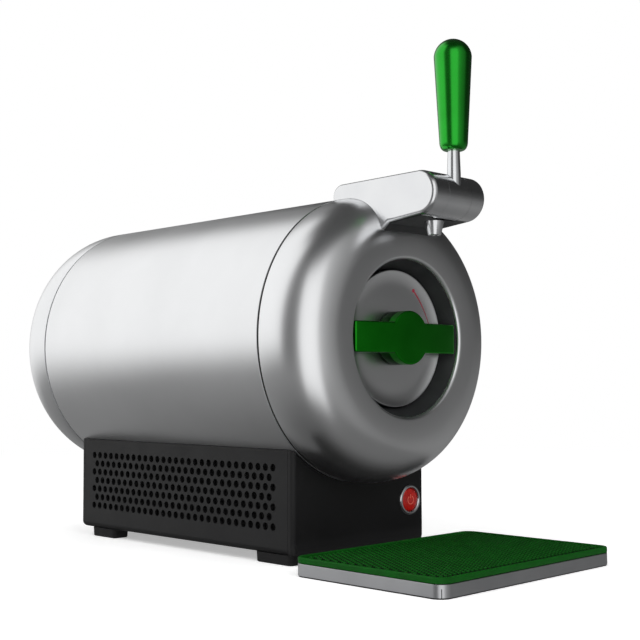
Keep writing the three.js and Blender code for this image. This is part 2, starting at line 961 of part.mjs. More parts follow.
function buildLeverGrip() {
  const bore = lever.rodRadius + gap;
  const profile = [
    [0, lever.rodTop + gap],
    [bore, lever.rodTop + gap],
    [bore, grip.bottom],
    [grip.bottomFlat, grip.bottom],
    [grip.bottomSwell, grip.bottom + grip.bottomRound / 2],
    [grip.bottomRadius, grip.bottom + grip.bottomRound],
  ];
  for (let i = 0; i <= grip.steps; i += 1) {
    const angle = (Math.PI / 2) * (i / grip.steps);
    profile.push([grip.topRadius * Math.cos(angle), grip.topCentre + grip.topRadius * Math.sin(angle)]);
  }
  return piece('lever_grip', turnedAlongZ(profile, gripSides), colours.candyGreen);
}

// Barrel's outside as seen from the floor, for cutting the tops of the base's walls.
function barrelCutter() {
  const from = -overrun;
  const to = base.frontSetback + base.length + overrun;
  return rod('y', barrelRadius + gap, from, to, barrelSides, [0, 0, axisHeight]);
}

// Space inside the base's rounded lower edges. Its round upper edges lie within the barrel.
function baseLimit() {
  const half = base.halfWidth;
  const tall = [base.underside, axisHeight];
  const across = roundedOutline([-half, half], tall, base.underRound, base.cornerSteps);
  const along = roundedOutline([baseFront, baseRear], tall, base.underRound, base.cornerSteps);
  return extrudeForward(across, baseRear, baseFront).intersect(extrudeAlongX(along, -half, half));
}

function buildBaseHousing() {
  const outside = roundedOutline(
    [-base.halfWidth, base.halfWidth],
    [baseFront, baseRear],
    base.cornerRadius,
    base.cornerSteps,
  );
  const walls = extrudeUp(outside, base.underside, axisHeight).intersect(baseLimit());
  const innerHalf = base.halfWidth - base.wall;
  const hollow = block(
    [-innerHalf, innerHalf],
    [baseFront + base.wall, baseRear - base.wall],
    [floorTop, axisHeight + overrun],
  );
  const sideSpace = [sideFront - gap, sideRear + gap];
  const sideCuts = [-1, 1].map((side) => {
    const edges = [side * (innerHalf - gap), side * (base.halfWidth + overrun)].sort((a, b) => a - b);
    return block(edges, sideSpace, [base.underside - overrun, axisHeight + overrun]);
  });
  const buttonHole = rod(
    'y', button.sleeveRadius + gap, baseFront - overrun, baseFront + overrun, smallSides,
    [buttonX, 0, button.height],
  );
  const inletHole = block(
    [inletX - inlet.width / 2 - gap, inletX + inlet.width / 2 + gap],
    [baseRear - overrun, baseRear + overrun],
    [inlet.height - inlet.tall / 2 - gap, inlet.height + inlet.tall / 2 + gap],
  );
  const body = walls
    .subtract(hollow)
    .subtract(unite(sideCuts))
    .subtract(barrelCutter())
    .subtract(buttonHole)
    .subtract(inletHole);
  return piece('base_housing', body, colours.blackPlastic);
}

// Side cover with staggered rows of round vents, each drawn with a few flat sides.
function buildBaseSide(name, side) {
  const corners = [
    [sideFront, base.underside],
    [sideRear, base.underside],
    [sideRear, axisHeight],
    [sideFront, axisHeight],
  ];
  const shape = outline(corners);
  const pitch = (base.length - vents.frontInset - vents.rearInset) / (vents.columns - 1);
  const radius = vents.radiusShare * pitch;
  for (let row = 0; row < vents.rows; row += 1) {
    const shifted = row % 2;
    for (let column = 0; column < vents.columns - shifted; column += 1) {
      const y = baseFront + vents.frontInset + pitch * (column + shifted / 2);
      const z = vents.bottomRowHeight + vents.rowPitch * row;
      const hole = [];
      for (let i = 0; i < vents.sides; i += 1) {
        const angle = Math.PI / 2 + (2 * Math.PI * i) / vents.sides;
        hole.push(new THREE.Vector2(y + radius * Math.cos(angle), z + radius * Math.sin(angle)));
      }
      shape.holes.push(new THREE.Path(hole));
    }
  }
  const outer = side * base.halfWidth;
  const inner = side * (base.halfWidth - base.wall);
  const sheet = extrudeAlongX(shape, Math.min(outer, inner), Math.max(outer, inner));
  return piece(name, sheet.intersect(baseLimit()).subtract(barrelCutter()), colours.blackPlastic);
}

function buildFoot(name, side, front, length) {
  const outer = base.halfWidth - foot.inset;
  const edges = [side * outer, side * (outer - foot.width)].sort((a, b) => a - b);
  return piece(name, block(edges, [front, front + length], [0, base.underside]), colours.rubber);
}

function buildFeet() {
  const front = baseFront + foot.frontInset;
  const rear = baseRear - foot.rearInset - foot.rearLength;
  return [
    buildFoot('foot_front_left', -1, front, foot.frontLength),
    buildFoot('foot_front_right', 1, front, foot.frontLength),
    buildFoot('foot_rear_left', -1, rear, foot.rearLength),
    buildFoot('foot_rear_right', 1, rear, foot.rearLength),
  ];
}

function buildButton() {
  const face = baseFront - button.ringProud;
  const bore = button.capRadius + runGap;
  const bezel = turnedAlongY([
    [bore, face],
    [button.ringRadius, face],
    [button.ringRadius, baseFront],
    [button.sleeveRadius, baseFront],
    [button.sleeveRadius, baseFront + button.sleeveLength],
    [bore, baseFront + button.sleeveLength],
  ], smallSides);
  const capFront = baseFront - button.capProud;
  const cap = turnedAlongY(rodProfile(button.capRadius, capFront, capFront + button.capLength), smallSides);
  const switchFront = capFront + button.capLength + button.stroke + gap;
  const switchBody = block(
    [-button.capRadius, button.capRadius],
    [Math.max(switchFront, baseFront + button.sleeveLength + gap), baseFront + 2 * button.sleeveLength],
    [-button.capRadius, button.capRadius],
  );
  return group([
    piece('button_bezel', bezel, colours.chrome),
    piece('power_button', cap, colours.redLens),
    piece('button_switch', switchBody, colours.blackPlastic),
  ], buttonX, 0, button.height);
}

function buildPowerInlet() {
  const halfWidth = inlet.width / 2;
  const halfTall = inlet.tall / 2;
  const shell = block([-halfWidth, halfWidth], [-inlet.depth, 0], [-halfTall, halfTall]);
  const flange = block(
    [-halfWidth - inlet.flange, halfWidth + inlet.flange],
    [gap, inlet.flangeThickness],
    [-halfTall - inlet.flange, halfTall + inlet.flange],
  );
  const neck = block([-halfWidth, halfWidth], [-gap, gap], [-halfTall, halfTall]);
  const mouthEnd = inlet.flangeThickness;
  const cavity = block(
    [-inlet.cavityWidth / 2, inlet.cavityWidth / 2],
    [mouthEnd - inlet.cavityDepth, mouthEnd + overrun],
    [-inlet.cavityTall / 2, inlet.cavityTall / 2],
  );
  const pinRear = mouthEnd - inlet.cavityDepth - inlet.pinRadius;
  const pins = [-1, 1].map((side) => rod(
    'y', inlet.pinRadius, pinRear, pinRear + inlet.pinLength, smallSides / 2,
    [(side * inlet.pinSpacing) / 2, 0, 0],
  ));
  const body = unite([shell, neck, flange]).subtract(cavity).add(unite(pins));
  return group([piece('power_inlet', body, colours.blackPlastic)], inletX, baseRear, inlet.height);
}

// Cold block, thermoelectric module and finned sink, stacked downwards from the chamber's underside.
function buildCooler() {
  const blockBottom = barrelClearance - cooler.blockDrop;
  const blockSpan = [-cooler.blockHalfWidth, cooler.blockHalfWidth];
  const coldRaw = block(blockSpan, [coldFront, coldRear], [blockBottom, axisHeight]);
  const saddleRadius = chamberRadius + liner.wall + gap;
  const saddleSpan = [coldFront - overrun, coldRear + overrun];
  const saddle = rod('y', saddleRadius, ...saddleSpan, barrelSides, [0, 0, axisHeight]);
  const moduleTop = blockBottom - gap;
  const moduleBottom = moduleTop - cooler.moduleThickness;
  const half = cooler.module / 2;
  const moduleSpan = [coolerMiddle - half, coolerMiddle + half];
  const module = block([-half, half], moduleSpan, [moduleBottom, moduleTop]);
  const plateTop = moduleBottom - gap;
  const plateBottom = plateTop - cooler.sinkPlate;
  const sinkHalf = (cooler.sinkLengthShare * base.length) / 2;
  const sinkSpan = [coolerMiddle - sinkHalf, coolerMiddle + sinkHalf];
  const sink = [block([-cooler.sinkHalfWidth, cooler.sinkHalfWidth], sinkSpan, [plateBottom, plateTop])];
  for (let i = 0; i < cooler.fins; i += 1) {
    const start = sinkSpan[0] + (i / (cooler.fins - 1)) * (2 * sinkHalf - cooler.finThickness);
    sink.push(block(
      [-cooler.sinkHalfWidth, cooler.sinkHalfWidth],
      [start, start + cooler.finThickness],
      [plateBottom - cooler.finHeight, plateBottom + gap],
    ));
  }
  return [
    piece('cold_block', coldRaw.subtract(saddle), colours.aluminium),
    piece('peltier_module', module, colours.ceramic),
    piece('heat_sink', unite(sink), colours.aluminium),
  ];
}

// Small axial fan beside the sink, blowing along X from one side's vents to the other's.
function buildFan() {
  const half = fan.size / 2;
  const frame = block([0, fan.thickness], [-half, half], [-half, half])
    .subtract(rod('x', fan.boreRadius, -overrun, fan.thickness + overrun, ringSides, [0, 0, 0]));
  const motorFrom = fan.thickness - fan.motorThickness;
  const motor = rod('x', fan.motorRadius, motorFrom, fan.thickness, smallSides, [0, 0, 0]);
  const struts = [
    block([motorFrom, fan.thickness], [-half, half], [-fan.strutWidth / 2, fan.strutWidth / 2]),
    block([motorFrom, fan.thickness], [-fan.strutWidth / 2, fan.strutWidth / 2], [-half, half]),
  ];
  const hubEnd = motorFrom - runGap;
  const wheel = [rod('x', fan.hubRadius, 0, hubEnd, smallSides, [0, 0, 0])];
  const tip = fan.boreRadius - 2 * runGap;
  for (let i = 0; i < fan.bladeCount; i += 1) {
    const blade = new THREE.BoxGeometry(fan.bladeThickness, fan.bladeChord, tip - fan.hubRadius / 2);
    blade.rotateZ(fan.bladePitch);
    blade.translate(hubEnd / 2, 0, (tip + fan.hubRadius / 2) / 2);
    blade.rotateX((2 * Math.PI * i) / fan.bladeCount);
    wheel.push(solid(blade));
  }
  const limit = rod('x', tip, -overrun, fan.thickness + overrun, ringSides, [0, 0, 0]);
  return group([
    piece('fan_frame', unite([frame, motor, ...struts]), colours.blackPlastic),
    piece('fan_impeller', unite(wheel).intersect(limit), colours.greyPlastic),
  ], cooler.sinkHalfWidth + fan.sinkGap, coolerMiddle, floorTop + half + gap);
}

function buildBoards() {
  const boardBottom = floorTop + boards.standoff;
  const boardTop = boardBottom + boards.thickness;
  const front = baseFront + boards.controlInsetShare * base.length;
  const back = front + boards.controlLengthShare * base.length;
  const half = boards.controlWidth / 2;
  const control = [block([-half, half], [front, back], [boardBottom, boardTop])];
  const posts = [-1, 1].flatMap((side) => [front, back].map((y) => {
    const inward = y === front ? 2 * boards.standoffRadius : -2 * boards.standoffRadius;
    const place = [side * (half - 2 * boards.standoffRadius), y + inward, 0];
    return rod('z', boards.standoffRadius, floorTop, boardTop, smallSides / 2, place);
  }));
  const middle = (front + back) / 2;
  const chip = block(
    [-boards.chipSize / 2, boards.chipSize / 2],
    [middle - boards.chipSize / 2, middle + boards.chipSize / 2],
    [boardTop - gap, boardTop + boards.chipHeight],
  );
  const rear = baseRear - boards.supplyInsetShare * base.length;
  const supply = block(
    [-boards.supplyWidth / 2, boards.supplyWidth / 2],
    [rear - boards.supplyLengthShare * base.length, rear],
    [floorTop, floorTop + boards.supplyHeight],
  );
  return [
    piece('control_board', unite([...control, ...posts, chip]), colours.board),
    piece('power_supply', supply, colours.greyPlastic),
  ];
}

function trayOutline(inset) {
  return roundedOutline(
    [-tray.halfWidth + inset, tray.halfWidth - inset],
    [-tray.front + inset, -tray.back - inset],
    tray.cornerRadius - inset,
    tray.cornerSteps,
  );
}

// Bent steel band round the tray. Its two ends meet in a slit at the front left corner.
function buildTraySkirt() {
  const band = extrudeUp(trayOutline(0), tray.skirtBottom, tray.skirtTop)
    .subtract(extrudeUp(trayOutline(tray.skirtWall), tray.skirtBottom - overrun, tray.skirtTop + overrun));
  const slit = new THREE.BoxGeometry(tray.slit, 2 * tray.cornerRadius, tray.skirtTop + 2 * overrun);
  slit.translate(0, -tray.cornerRadius, 0);
  slit.rotateZ(-Math.PI / 4);
  slit.translate(-tray.halfWidth + tray.cornerRadius, -tray.front + tray.cornerRadius, 0);
  return piece('tray_skirt', band.subtract(solid(slit)), colours.steel);
}

function buildTrayPan() {
  const inset = tray.skirtWall + gap;
  const sole = extrudeUp(trayOutline(tray.lineInset), 0, tray.skirtBottom - gap);
  const tub = extrudeUp(trayOutline(inset), 0, tray.panTop);
  const basin = extrudeUp(trayOutline(inset + tray.panWall), tray.panFloor, tray.panTop + overrun);
  return piece('tray_pan', sole.add(tub).subtract(basin), colours.blackPlastic);
}

// Rubber mat with a raised rim and rows of nubs, every second row shifted by half a pitch.
function buildDripMat() {
  const slab = extrudeUp(trayOutline(0), mat.bottom, mat.top);
  const field = extrudeUp(trayOutline(mat.rim), mat.field, mat.top + overrun);
  const halfAcross = tray.halfWidth - mat.rim - mat.margin;
  const front = -tray.front + mat.rim + mat.margin;
  const back = -tray.back - mat.rim - mat.margin;
  const columns = Math.floor((2 * halfAcross) / mat.pitchAcross);
  const rows = Math.floor((back - front) / mat.pitchAlong);
  const nubs = [];
  for (let row = 0; row <= rows; row += 1) {
    const shifted = row % 2;
    for (let column = 0; column <= columns - shifted; column += 1) {
      const x = mat.pitchAcross * (column + shifted / 2 - columns / 2);
      const y = (front + back) / 2 + mat.pitchAlong * (row - rows / 2);
      const height = mat.field - mat.bottom + mat.nubTopRise;
      const nub = new THREE.CylinderGeometry(mat.nubRadius, mat.nubRadius, height, mat.nubSides);
      nub.rotateX(Math.PI / 2);
      nubs.push(solid(nub.translate(x, y, mat.bottom + height / 2)));
    }
  }
  return piece('drip_mat', slab.subtract(field).add(unite(nubs)), colours.greenRubber);
}

function buildMachine() {
  const { fixed, door, pin } = buildHinge();
  const barrel = group([
    buildBarrelShell(),
    buildRearCap(),
    buildMouthRing(),
    buildKegLiner(),
    buildInsulation(),
    fixed,
    pin,
  ], 0, 0, axisHeight);
  const leverArm = group([buildLeverRod(), buildLeverGrip()], 0, -lever.forward, 0);
  const leverPieces = [buildLeverPin(), buildLeverHub(), leverArm];
  const leverGroup = group(leverPieces, 0, -tap.noseForward, -tap.noseDrop);
  const spoutGroup = group([buildSpout()], 0, -spout.forward, 0);
  const tapGroup = group([buildTapBody(), spoutGroup, leverGroup], 0, 0, barrelRadius);
  const lockGroup = group([buildLockHandle(), buildSpindle(), buildScrollDisc()]);
  const doorGroup = group([
    buildFrontCap(),
    buildLockDish(),
    buildSpindleBush(),
    buildDoorLiner(),
    buildDoorGasket(),
    buildDoorFoam(),
    buildBoltGuide(),
    buildLatchBolt(),
    door,
    tapGroup,
    lockGroup,
  ], 0, 0, axisHeight);
  const stand = group([
    buildBaseHousing(),
    buildBaseSide('base_side_left', -1),
    buildBaseSide('base_side_right', 1),
    ...buildFeet(),
    buildButton(),
    buildPowerInlet(),
    ...buildCooler(),
    buildFan(),
    ...buildBoards(),
  ]);
  const dripTray = group([buildTrayPan(), buildTraySkirt(), buildDripMat()]);
  const rearEnd = barrelLength + rearSeam + rearCap.straight + rearCap.shoulderDepth;
  return group([barrel, doorGroup, stand, dripTray], 0, (tray.front - rearEnd) / 2, 0);
}

export default buildMachine();
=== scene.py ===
# %% [markdown]
# # Dressing a countertop kegerator
# A cooled barrel lies on a black vented base. A domed door carries the tap, its lever and a lock with a bar
# handle, and a steel drip tray with a rubber mat stands in front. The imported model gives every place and
# every moving body. This lesson puts smooth, finished surfaces around that frame, gives each one the
# material that the real piece is made of, and lights them as a product photographer would.

# %% The frame
import math

import bmesh
import bpy
import numpy as np
from mathutils import Matrix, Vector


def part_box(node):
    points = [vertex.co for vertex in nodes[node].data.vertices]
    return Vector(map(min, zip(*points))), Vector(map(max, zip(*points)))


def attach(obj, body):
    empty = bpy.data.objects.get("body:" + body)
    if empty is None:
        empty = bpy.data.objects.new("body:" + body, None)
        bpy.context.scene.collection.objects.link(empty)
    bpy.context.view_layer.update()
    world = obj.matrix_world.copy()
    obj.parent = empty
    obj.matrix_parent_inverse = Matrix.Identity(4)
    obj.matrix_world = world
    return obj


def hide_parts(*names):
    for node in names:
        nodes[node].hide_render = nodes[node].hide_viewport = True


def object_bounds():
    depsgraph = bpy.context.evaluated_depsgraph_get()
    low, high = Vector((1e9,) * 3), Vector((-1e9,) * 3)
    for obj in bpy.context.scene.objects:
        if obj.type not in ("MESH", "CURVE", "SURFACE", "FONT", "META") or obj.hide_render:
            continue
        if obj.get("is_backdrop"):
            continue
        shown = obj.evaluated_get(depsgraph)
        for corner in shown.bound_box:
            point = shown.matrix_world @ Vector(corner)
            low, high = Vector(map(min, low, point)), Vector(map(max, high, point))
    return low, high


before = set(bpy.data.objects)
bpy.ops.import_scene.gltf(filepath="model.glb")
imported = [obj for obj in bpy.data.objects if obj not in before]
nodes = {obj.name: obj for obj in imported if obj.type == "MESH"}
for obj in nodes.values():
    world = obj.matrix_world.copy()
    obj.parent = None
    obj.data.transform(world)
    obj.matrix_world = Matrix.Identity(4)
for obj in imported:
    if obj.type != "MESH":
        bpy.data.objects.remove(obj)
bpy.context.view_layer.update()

# %% [markdown]
# ## Places
# The drawing's lengths are millimetres, so the lesson keeps millimetres until a mesh is made. Two places
# carry everything: the barrel's axis, and the seam where the door meets the barrel. Both are read from the
# frame's own solids, so a piece can't drift from what carries it.

# %% The axis and the seam
MM = 0.001
SEAM_HALF = 1.1


def box_mm(solid):
    """Lowest and highest corner of a solid of the frame, in millimetres."""
    low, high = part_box(solid)
    return np.array(low) / MM, np.array(high) / MM


shell_low, shell_high = box_mm("barrel_shell")
AXIS_Z = (shell_low[2] + shell_high[2]) / 2
BARREL_RADIUS = (shell_high[0] - shell_low[0]) / 2
SEAM_Y = shell_low[1] - SEAM_HALF
BARREL = (0.0, SEAM_Y, AXIS_Z)
print(f"axis {AXIS_Z:.1f} mm up, radius {BARREL_RADIUS:.1f} mm, seam at y = {SEAM_Y:.2f} mm")

# %% [markdown]
# ## From arrays to meshes
# Every surface here is a grid of points worked out with numpy. A lathe-turned piece is a profile carried
# round an axis, and a moulded piece is an outline carried from one face to the other while it shrinks at
# the edges to leave them round. These few helpers turn such grids into closed meshes.


# %% Grids
def grid_faces(rows, columns, wrap_rows=False, wrap_columns=False):
    """Four-sided faces of a grid: point (i, j) joins (i+1, j), (i+1, j+1) and (i, j+1)."""
    index = np.arange(rows * columns).reshape(rows, columns)
    if wrap_rows:
        index = np.concatenate([index, index[:1]])
    if wrap_columns:
        index = np.concatenate([index, index[:, :1]], axis=1)
    corners = [index[:-1, :-1], index[1:, :-1], index[1:, 1:], index[:-1, 1:]]
    return np.stack(corners, axis=-1).reshape(-1, 4).tolist()


print("a grid of 3 by 4 points has", len(grid_faces(3, 4)), "faces")

# %% [markdown]
# Outlines start as lists of corners. Arcs on an outline become the round upright edges of a solid, and the
# same outline drawn in a little becomes its round edges above and below.


# %% Outlines
def oblong(x0, x1, y0, y1):
    """Four corners, anticlockwise. As a profile to turn it is a tube from radius x0 to x1."""
    return [[x0, y0], [x1, y0], [x1, y1], [x0, y1]]


def rounded(outline, radii, steps=5):
    """Closed outline whose corners become arcs that touch both of their sides.
    An arc starts and ends at radius / tan(half the corner's angle) from the corner."""
    corner = np.asarray(outline, float)
    radius = np.broadcast_to(np.asarray(radii, float), len(corner))[:, None]
    back = np.roll(corner, 1, axis=0) - corner
    ahead = np.roll(corner, -1, axis=0) - corner
    back /= np.linalg.norm(back, axis=1, keepdims=True)
    ahead /= np.linalg.norm(ahead, axis=1, keepdims=True)
    half = np.arccos(np.clip((back * ahead).sum(1), -1, 1))[:, None] / 2
    middle = back + ahead
    middle /= np.maximum(np.linalg.norm(middle, axis=1, keepdims=True), 1e-9)
    centre = corner + middle * radius / np.sin(half)
    start = corner + back * radius / np.tan(half) - centre
    end = corner + ahead * radius / np.tan(half) - centre
    sweep = np.maximum(np.pi - 2 * half, 1e-6)
    share = np.linspace(0, 1, steps + 1)[None, :]
    first = (np.sin((1 - share) * sweep) / np.sin(sweep))[:, :, None]
    last = (np.sin(share * sweep) / np.sin(sweep))[:, :, None]
    arcs = centre[:, None] + first * start[:, None] + last * end[:, None]
    return arcs.reshape(-1, 2)


def inset(outline, distance):
    """Outline moved inwards by a distance: each point goes along the sum of its two sides' normals,
    divided by 1 + their dot product, which keeps both sides parallel."""
    ahead = np.roll(outline, -1, axis=0) - outline
    ahead /= np.maximum(np.linalg.norm(ahead, axis=1, keepdims=True), 1e-12)
    normal = np.stack([-ahead[:, 1], ahead[:, 0]], axis=1)
    before = np.roll(normal, 1, axis=0)
    share = (normal + before) / (1 + (normal * before).sum(1, keepdims=True))
    return outline + distance * share


def distinct(outline, closest=1e-4):
    """Outline without points that repeat the one before them, turned anticlockwise."""
    points = np.asarray(outline, float)
    step = np.linalg.norm(points - np.roll(points, 1, axis=0), axis=1)
    points = points[step > closest]
    following = np.roll(points, -1, axis=0)
    area = (points[:, 0] * following[:, 1] - following[:, 0] * points[:, 1]).sum()
    return points if area > 0 else points[::-1]


print("an oblong with round corners has", len(rounded(oblong(0, 2, 0, 1), 0.1)), "points")

# %% [markdown]
# A solid is kept as a pair, its points and its faces, until it becomes a mesh. It could be made with
# Blender's own Screw and Extrude tools, but as arrays its edges stay exactly where the drawing has them.


# %% Solids as points and faces
def turned(profile, sides=128, axis="y", centre=(0, 0, 0)):
    """Closed profile of (radius, distance along the axis) carried round the axis:
    the point at turn t is (radius cos t, distance, radius sin t)."""
    profile = np.asarray(profile, float)
    turn = np.linspace(0, 2 * np.pi, sides, endpoint=False)[:, None]
    across = profile[None, :, 0] * np.cos(turn)
    up = profile[None, :, 0] * np.sin(turn)
    along = np.broadcast_to(profile[None, :, 1], across.shape)
    order = {"x": (along, across, up), "y": (up, along, across), "z": (across, up, along)}[axis]
    points = np.stack(order, axis=-1).reshape(-1, 3) + np.asarray(centre, float)
    return points, grid_faces(sides, len(profile), True, True)


def stacked(outlines, heights, plane="xy"):
    """Outlines of equal length at rising heights, joined and closed by a flat face at both ends."""
    rings = [np.column_stack([outline, np.full(len(outline), height)])
             for outline, height in zip(outlines, heights)]
    points = np.concatenate(rings)
    count = len(outlines[0])
    faces = grid_faces(len(rings), count, wrap_columns=True)
    faces += [list(range(count)), list(range(len(points) - count, len(points)))]
    order = {"xy": (0, 1, 2), "yz": (2, 0, 1), "xz": (0, 2, 1)}[plane]
    return points[:, order], faces


def terraced(outline, levels, plane="xy"):
    """Outline carried through levels of (height, how far it is drawn in)."""
    outline = distinct(outline)
    outlines = [inset(outline, drawn_in) for _, drawn_in in levels]
    return stacked(outlines, [height for height, _ in levels], plane)


def slab(outline, low, high, edge=0.0, steps=4, plane="xy", edge_low=None):
    """Outline carried from low to high. Near each end it is drawn in along a quarter circle: at an angle a
    the height is edge * (1 - cos a) from the end, and the outline is edge * (1 - sin a) in."""
    first = edge if edge_low is None else edge_low
    bend = np.linspace(0, np.pi / 2, steps + 1)
    levels = [(low + first * (1 - math.cos(a)), first * (1 - math.sin(a))) for a in bend]
    levels += [(high - edge * (1 - math.cos(a)), edge * (1 - math.sin(a))) for a in bend[::-1]]
    return terraced(outline, levels, plane)


def brick(low, high):
    """Plain box between two corners, used only to cut or to join with."""
    (x0, y0, z0), (x1, y1, z1) = low, high
    return slab(oblong(x0, x1, y0, y1), z0, z1, steps=1)


def moved(shape, by):
    """A shape shifted by a distance along each axis."""
    return shape[0] + np.asarray(by, float), shape[1]


def merged(shapes):
    """Several shapes as one. Each face's point numbers go up by the count of the points before it."""
    points, faces, count = [], [], 0
    for part_points, part_faces in shapes:
        points.append(part_points)
        faces += [[count + corner for corner in face] for face in part_faces]
        count += len(part_points)
    return np.concatenate(points), faces


print("a turned ring of 8 sides has", len(turned(oblong(1, 2, 0, 1), 8)[1]), "faces")

# %% [markdown]
# The arrays fill a mesh, and its faces are turned outwards at once. A face that points inwards looks black
# in some programs and is missing in others, and it also spoils a cut.


# %% Meshes
def mesh_of(name, shape):
    """Mesh in metres of points in millimetres, with doubles merged and faces turned outwards."""
    points, faces = shape
    mesh = bpy.data.meshes.new(name)
    mesh.from_pydata((np.asarray(points) * MM).tolist(), [], faces)
    work = bmesh.new()
    work.from_mesh(mesh)
    bmesh.ops.remove_doubles(work, verts=work.verts, dist=1e-7)
    bmesh.ops.dissolve_degenerate(work, edges=work.edges, dist=1e-7)
    bmesh.ops.recalc_face_normals(work, faces=work.faces)
    work.to_mesh(mesh)
    work.free()
    return mesh


def loose_object(name, shape):
    """Object in the scene that carries a shape's mesh."""
    made = bpy.data.objects.new(name, mesh_of(name, shape))
    bpy.context.scene.collection.objects.link(made)
    return made


print("one unit of the drawing is", MM, "m in the mesh")

# %% [markdown]
# Openings are cut and parts joined with Blender's exact Boolean, because two meshes that only overlap would
# leave walls inside the piece. The result is kept at once, so no modifier is left on the piece.


# %% Cuts and joins
def finished_mesh(made):
    """The mesh that an object's modifiers give, kept in place of the modifiers."""
    bpy.context.view_layer.update()
    graph = bpy.context.evaluated_depsgraph_get()
    mesh = bpy.data.meshes.new_from_object(made.evaluated_get(graph))
    made.modifiers.clear()
    made.data = mesh
    return mesh


def shaped(made, cuts=(), joins=()):
    """Joins solids to an object, then cuts others from it, and keeps the result as its mesh."""
    tools = [(loose_object("tool", solid), "UNION") for solid in joins]
    tools += [(loose_object("tool", solid), "DIFFERENCE") for solid in cuts]
    for tool, operation in tools:
        step = made.modifiers.new(operation.lower(), "BOOLEAN")
        step.operation = operation
        step.object = tool
        step.solver = "EXACT"
    finished_mesh(made)
    for tool, _ in tools:
        bpy.data.objects.remove(tool)


print("cuts and joins use the exact solver")

# %% [markdown]
# Each piece is made by one call. It is shaded smooth, except over edges sharper than an angle, gets its
# material, and is set on the body that it moves with. The call also names the frame's solids that it stands
# for, so they are hidden.

# %% One finished piece
SHARP = 32


def dress(name, shape, body, finish, stands_for=(), cuts=(), joins=(), sharp=SHARP, flats=False):
    """One finished piece: made, cut, shaded, coated, and set on its body. A piece with flats and rolled edges
    gets normals weighted by area, so its flats don't look like pillows."""
    made = loose_object(name, shape)
    if cuts or joins:
        shaped(made, cuts, joins)
    made.data.shade_smooth()
    made.data.set_sharp_from_angle(angle=math.radians(sharp))
    if flats:
        weighting = made.modifiers.new("flats", "WEIGHTED_NORMAL")
        weighting.keep_sharp = True
        finished_mesh(made)
    made.data.materials.clear()
    made.data.materials.append(finish)
    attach(made, body)
    if stands_for:
        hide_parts(*stands_for)
    print(f"{name}: {len(made.data.polygons)} faces on {body}")
    return made


print("edges sharper than", SHARP, "degrees stay sharp")

# %% [markdown]
# ## Materials
# Each material starts from what the real surface is and how it was made. One small function adds a shader
# node, one turns a colour from the hex value that a screen shows into the linear value that light needs.
# Patterns read object coordinates, and every scale is one over a real size in metres.


# %% Nodes and colours
def linear(hex_colour):
    """sRGB hex to linear: up to 0.04045 a value v gives v / 12.92, above it ((v + 0.055) / 1.055) ** 2.4."""
    value = np.array([int(hex_colour[i:i + 2], 16) for i in (1, 3, 5)]) / 255
    low, high = value / 12.92, ((value + 0.055) / 1.055) ** 2.4
    return (*np.where(value <= 0.04045, low, high).tolist(), 1.0)


def plug(target, inputs):
    """Sets a node's inputs, each to a number or colour, or to the output that it is then linked to.
    Inputs go by name, or by place where several share a name, as the colour mix's do."""
    for key, value in inputs.items():
        if isinstance(value, bpy.types.NodeSocket):
            target.id_data.links.new(value, target.inputs[key])
        else:
            target.inputs[key].default_value = value


def node(tree, kind, inputs=None, output=0, **settings):
    """Adds a node with its settings and inputs, and gives one of its outputs for the next node to use."""
    added = tree.nodes.new(kind)
    for key, value in settings.items():
        setattr(added, key, value)
    plug(added, inputs or {})
    return added.outputs[output]


def per_mm(size):
    """Pattern scale whose repeat is about this many millimetres."""
    return 1 / (size * MM)


def spans(value, low, high, to_low=0.0, to_high=1.0):
    """What a Map Range node takes: a value, the span it is read from and the span it is carried to."""
    return {"Value": value, "From Min": low, "From Max": high, "To Min": to_low, "To Max": to_high}


print("mid grey in linear light:", round(linear("#808080")[0], 3))

# %% [markdown]
# Nothing that is made has one flat colour: a lacquer clouds, and a moulding shows how the plastic flowed.
# So every finish here wanders between two near shades and two near values of roughness, along one noise
# whose size is that of the real clouds, and a second noise makes its grain. Most of a noise's values lie
# between 0.3 and 0.7, and the blend runs between those two.

# %% One finish
NOISE_MOST = (0.3, 0.7)


def new_finish(name):
    """Empty material: its tree, its shader and the object coordinates."""
    made = bpy.data.materials.new(name)
    made.use_nodes = True
    tree = made.node_tree
    return made, tree, tree.nodes["Principled BSDF"], node(tree, "ShaderNodeTexCoord", output="Object")


def two_shades(tree, pattern, dark, light):
    """Colour that follows a pattern from one hex shade to the other."""
    share = node(tree, "ShaderNodeMapRange", spans(pattern, *NOISE_MOST))
    shades = {0: share, 6: linear(dark), 7: linear(light)}
    return node(tree, "ShaderNodeMix", shades, 2, data_type="RGBA")


def finish_of(name, dark, light, roughness, patch, grain, depth, stretch=(1, 1, 1), **sockets):
    """A finish with cloudy colour between two shades, roughness that wanders with it, and a fine grain.
    Patch and grain are sizes in millimetres, depth is how deep the grain goes, and stretch draws it out."""
    made, tree, shader, place = new_finish(name)
    cloud = node(tree, "ShaderNodeTexNoise", {"Vector": place, "Scale": per_mm(patch), "Detail": 4}, "Fac")
    drawn = node(tree, "ShaderNodeMapping", {"Vector": place, "Scale": tuple(1 / s for s in stretch)})
    speck = node(tree, "ShaderNodeTexNoise", {"Vector": drawn, "Scale": per_mm(grain), "Detail": 2}, "Fac")
    dents = node(tree, "ShaderNodeBump", {"Height": speck, "Distance": depth * MM, "Strength": 1.0})
    plug(shader, {"Base Color": two_shades(tree, cloud, dark, light), "Normal": dents,
                  "Roughness": node(tree, "ShaderNodeMapRange", spans(cloud, *NOISE_MOST, *roughness))})
    plug(shader, {key.replace("_", " "): value for key, value in sockets.items()})
    return made


print("a finish blends between noise values", NOISE_MOST)

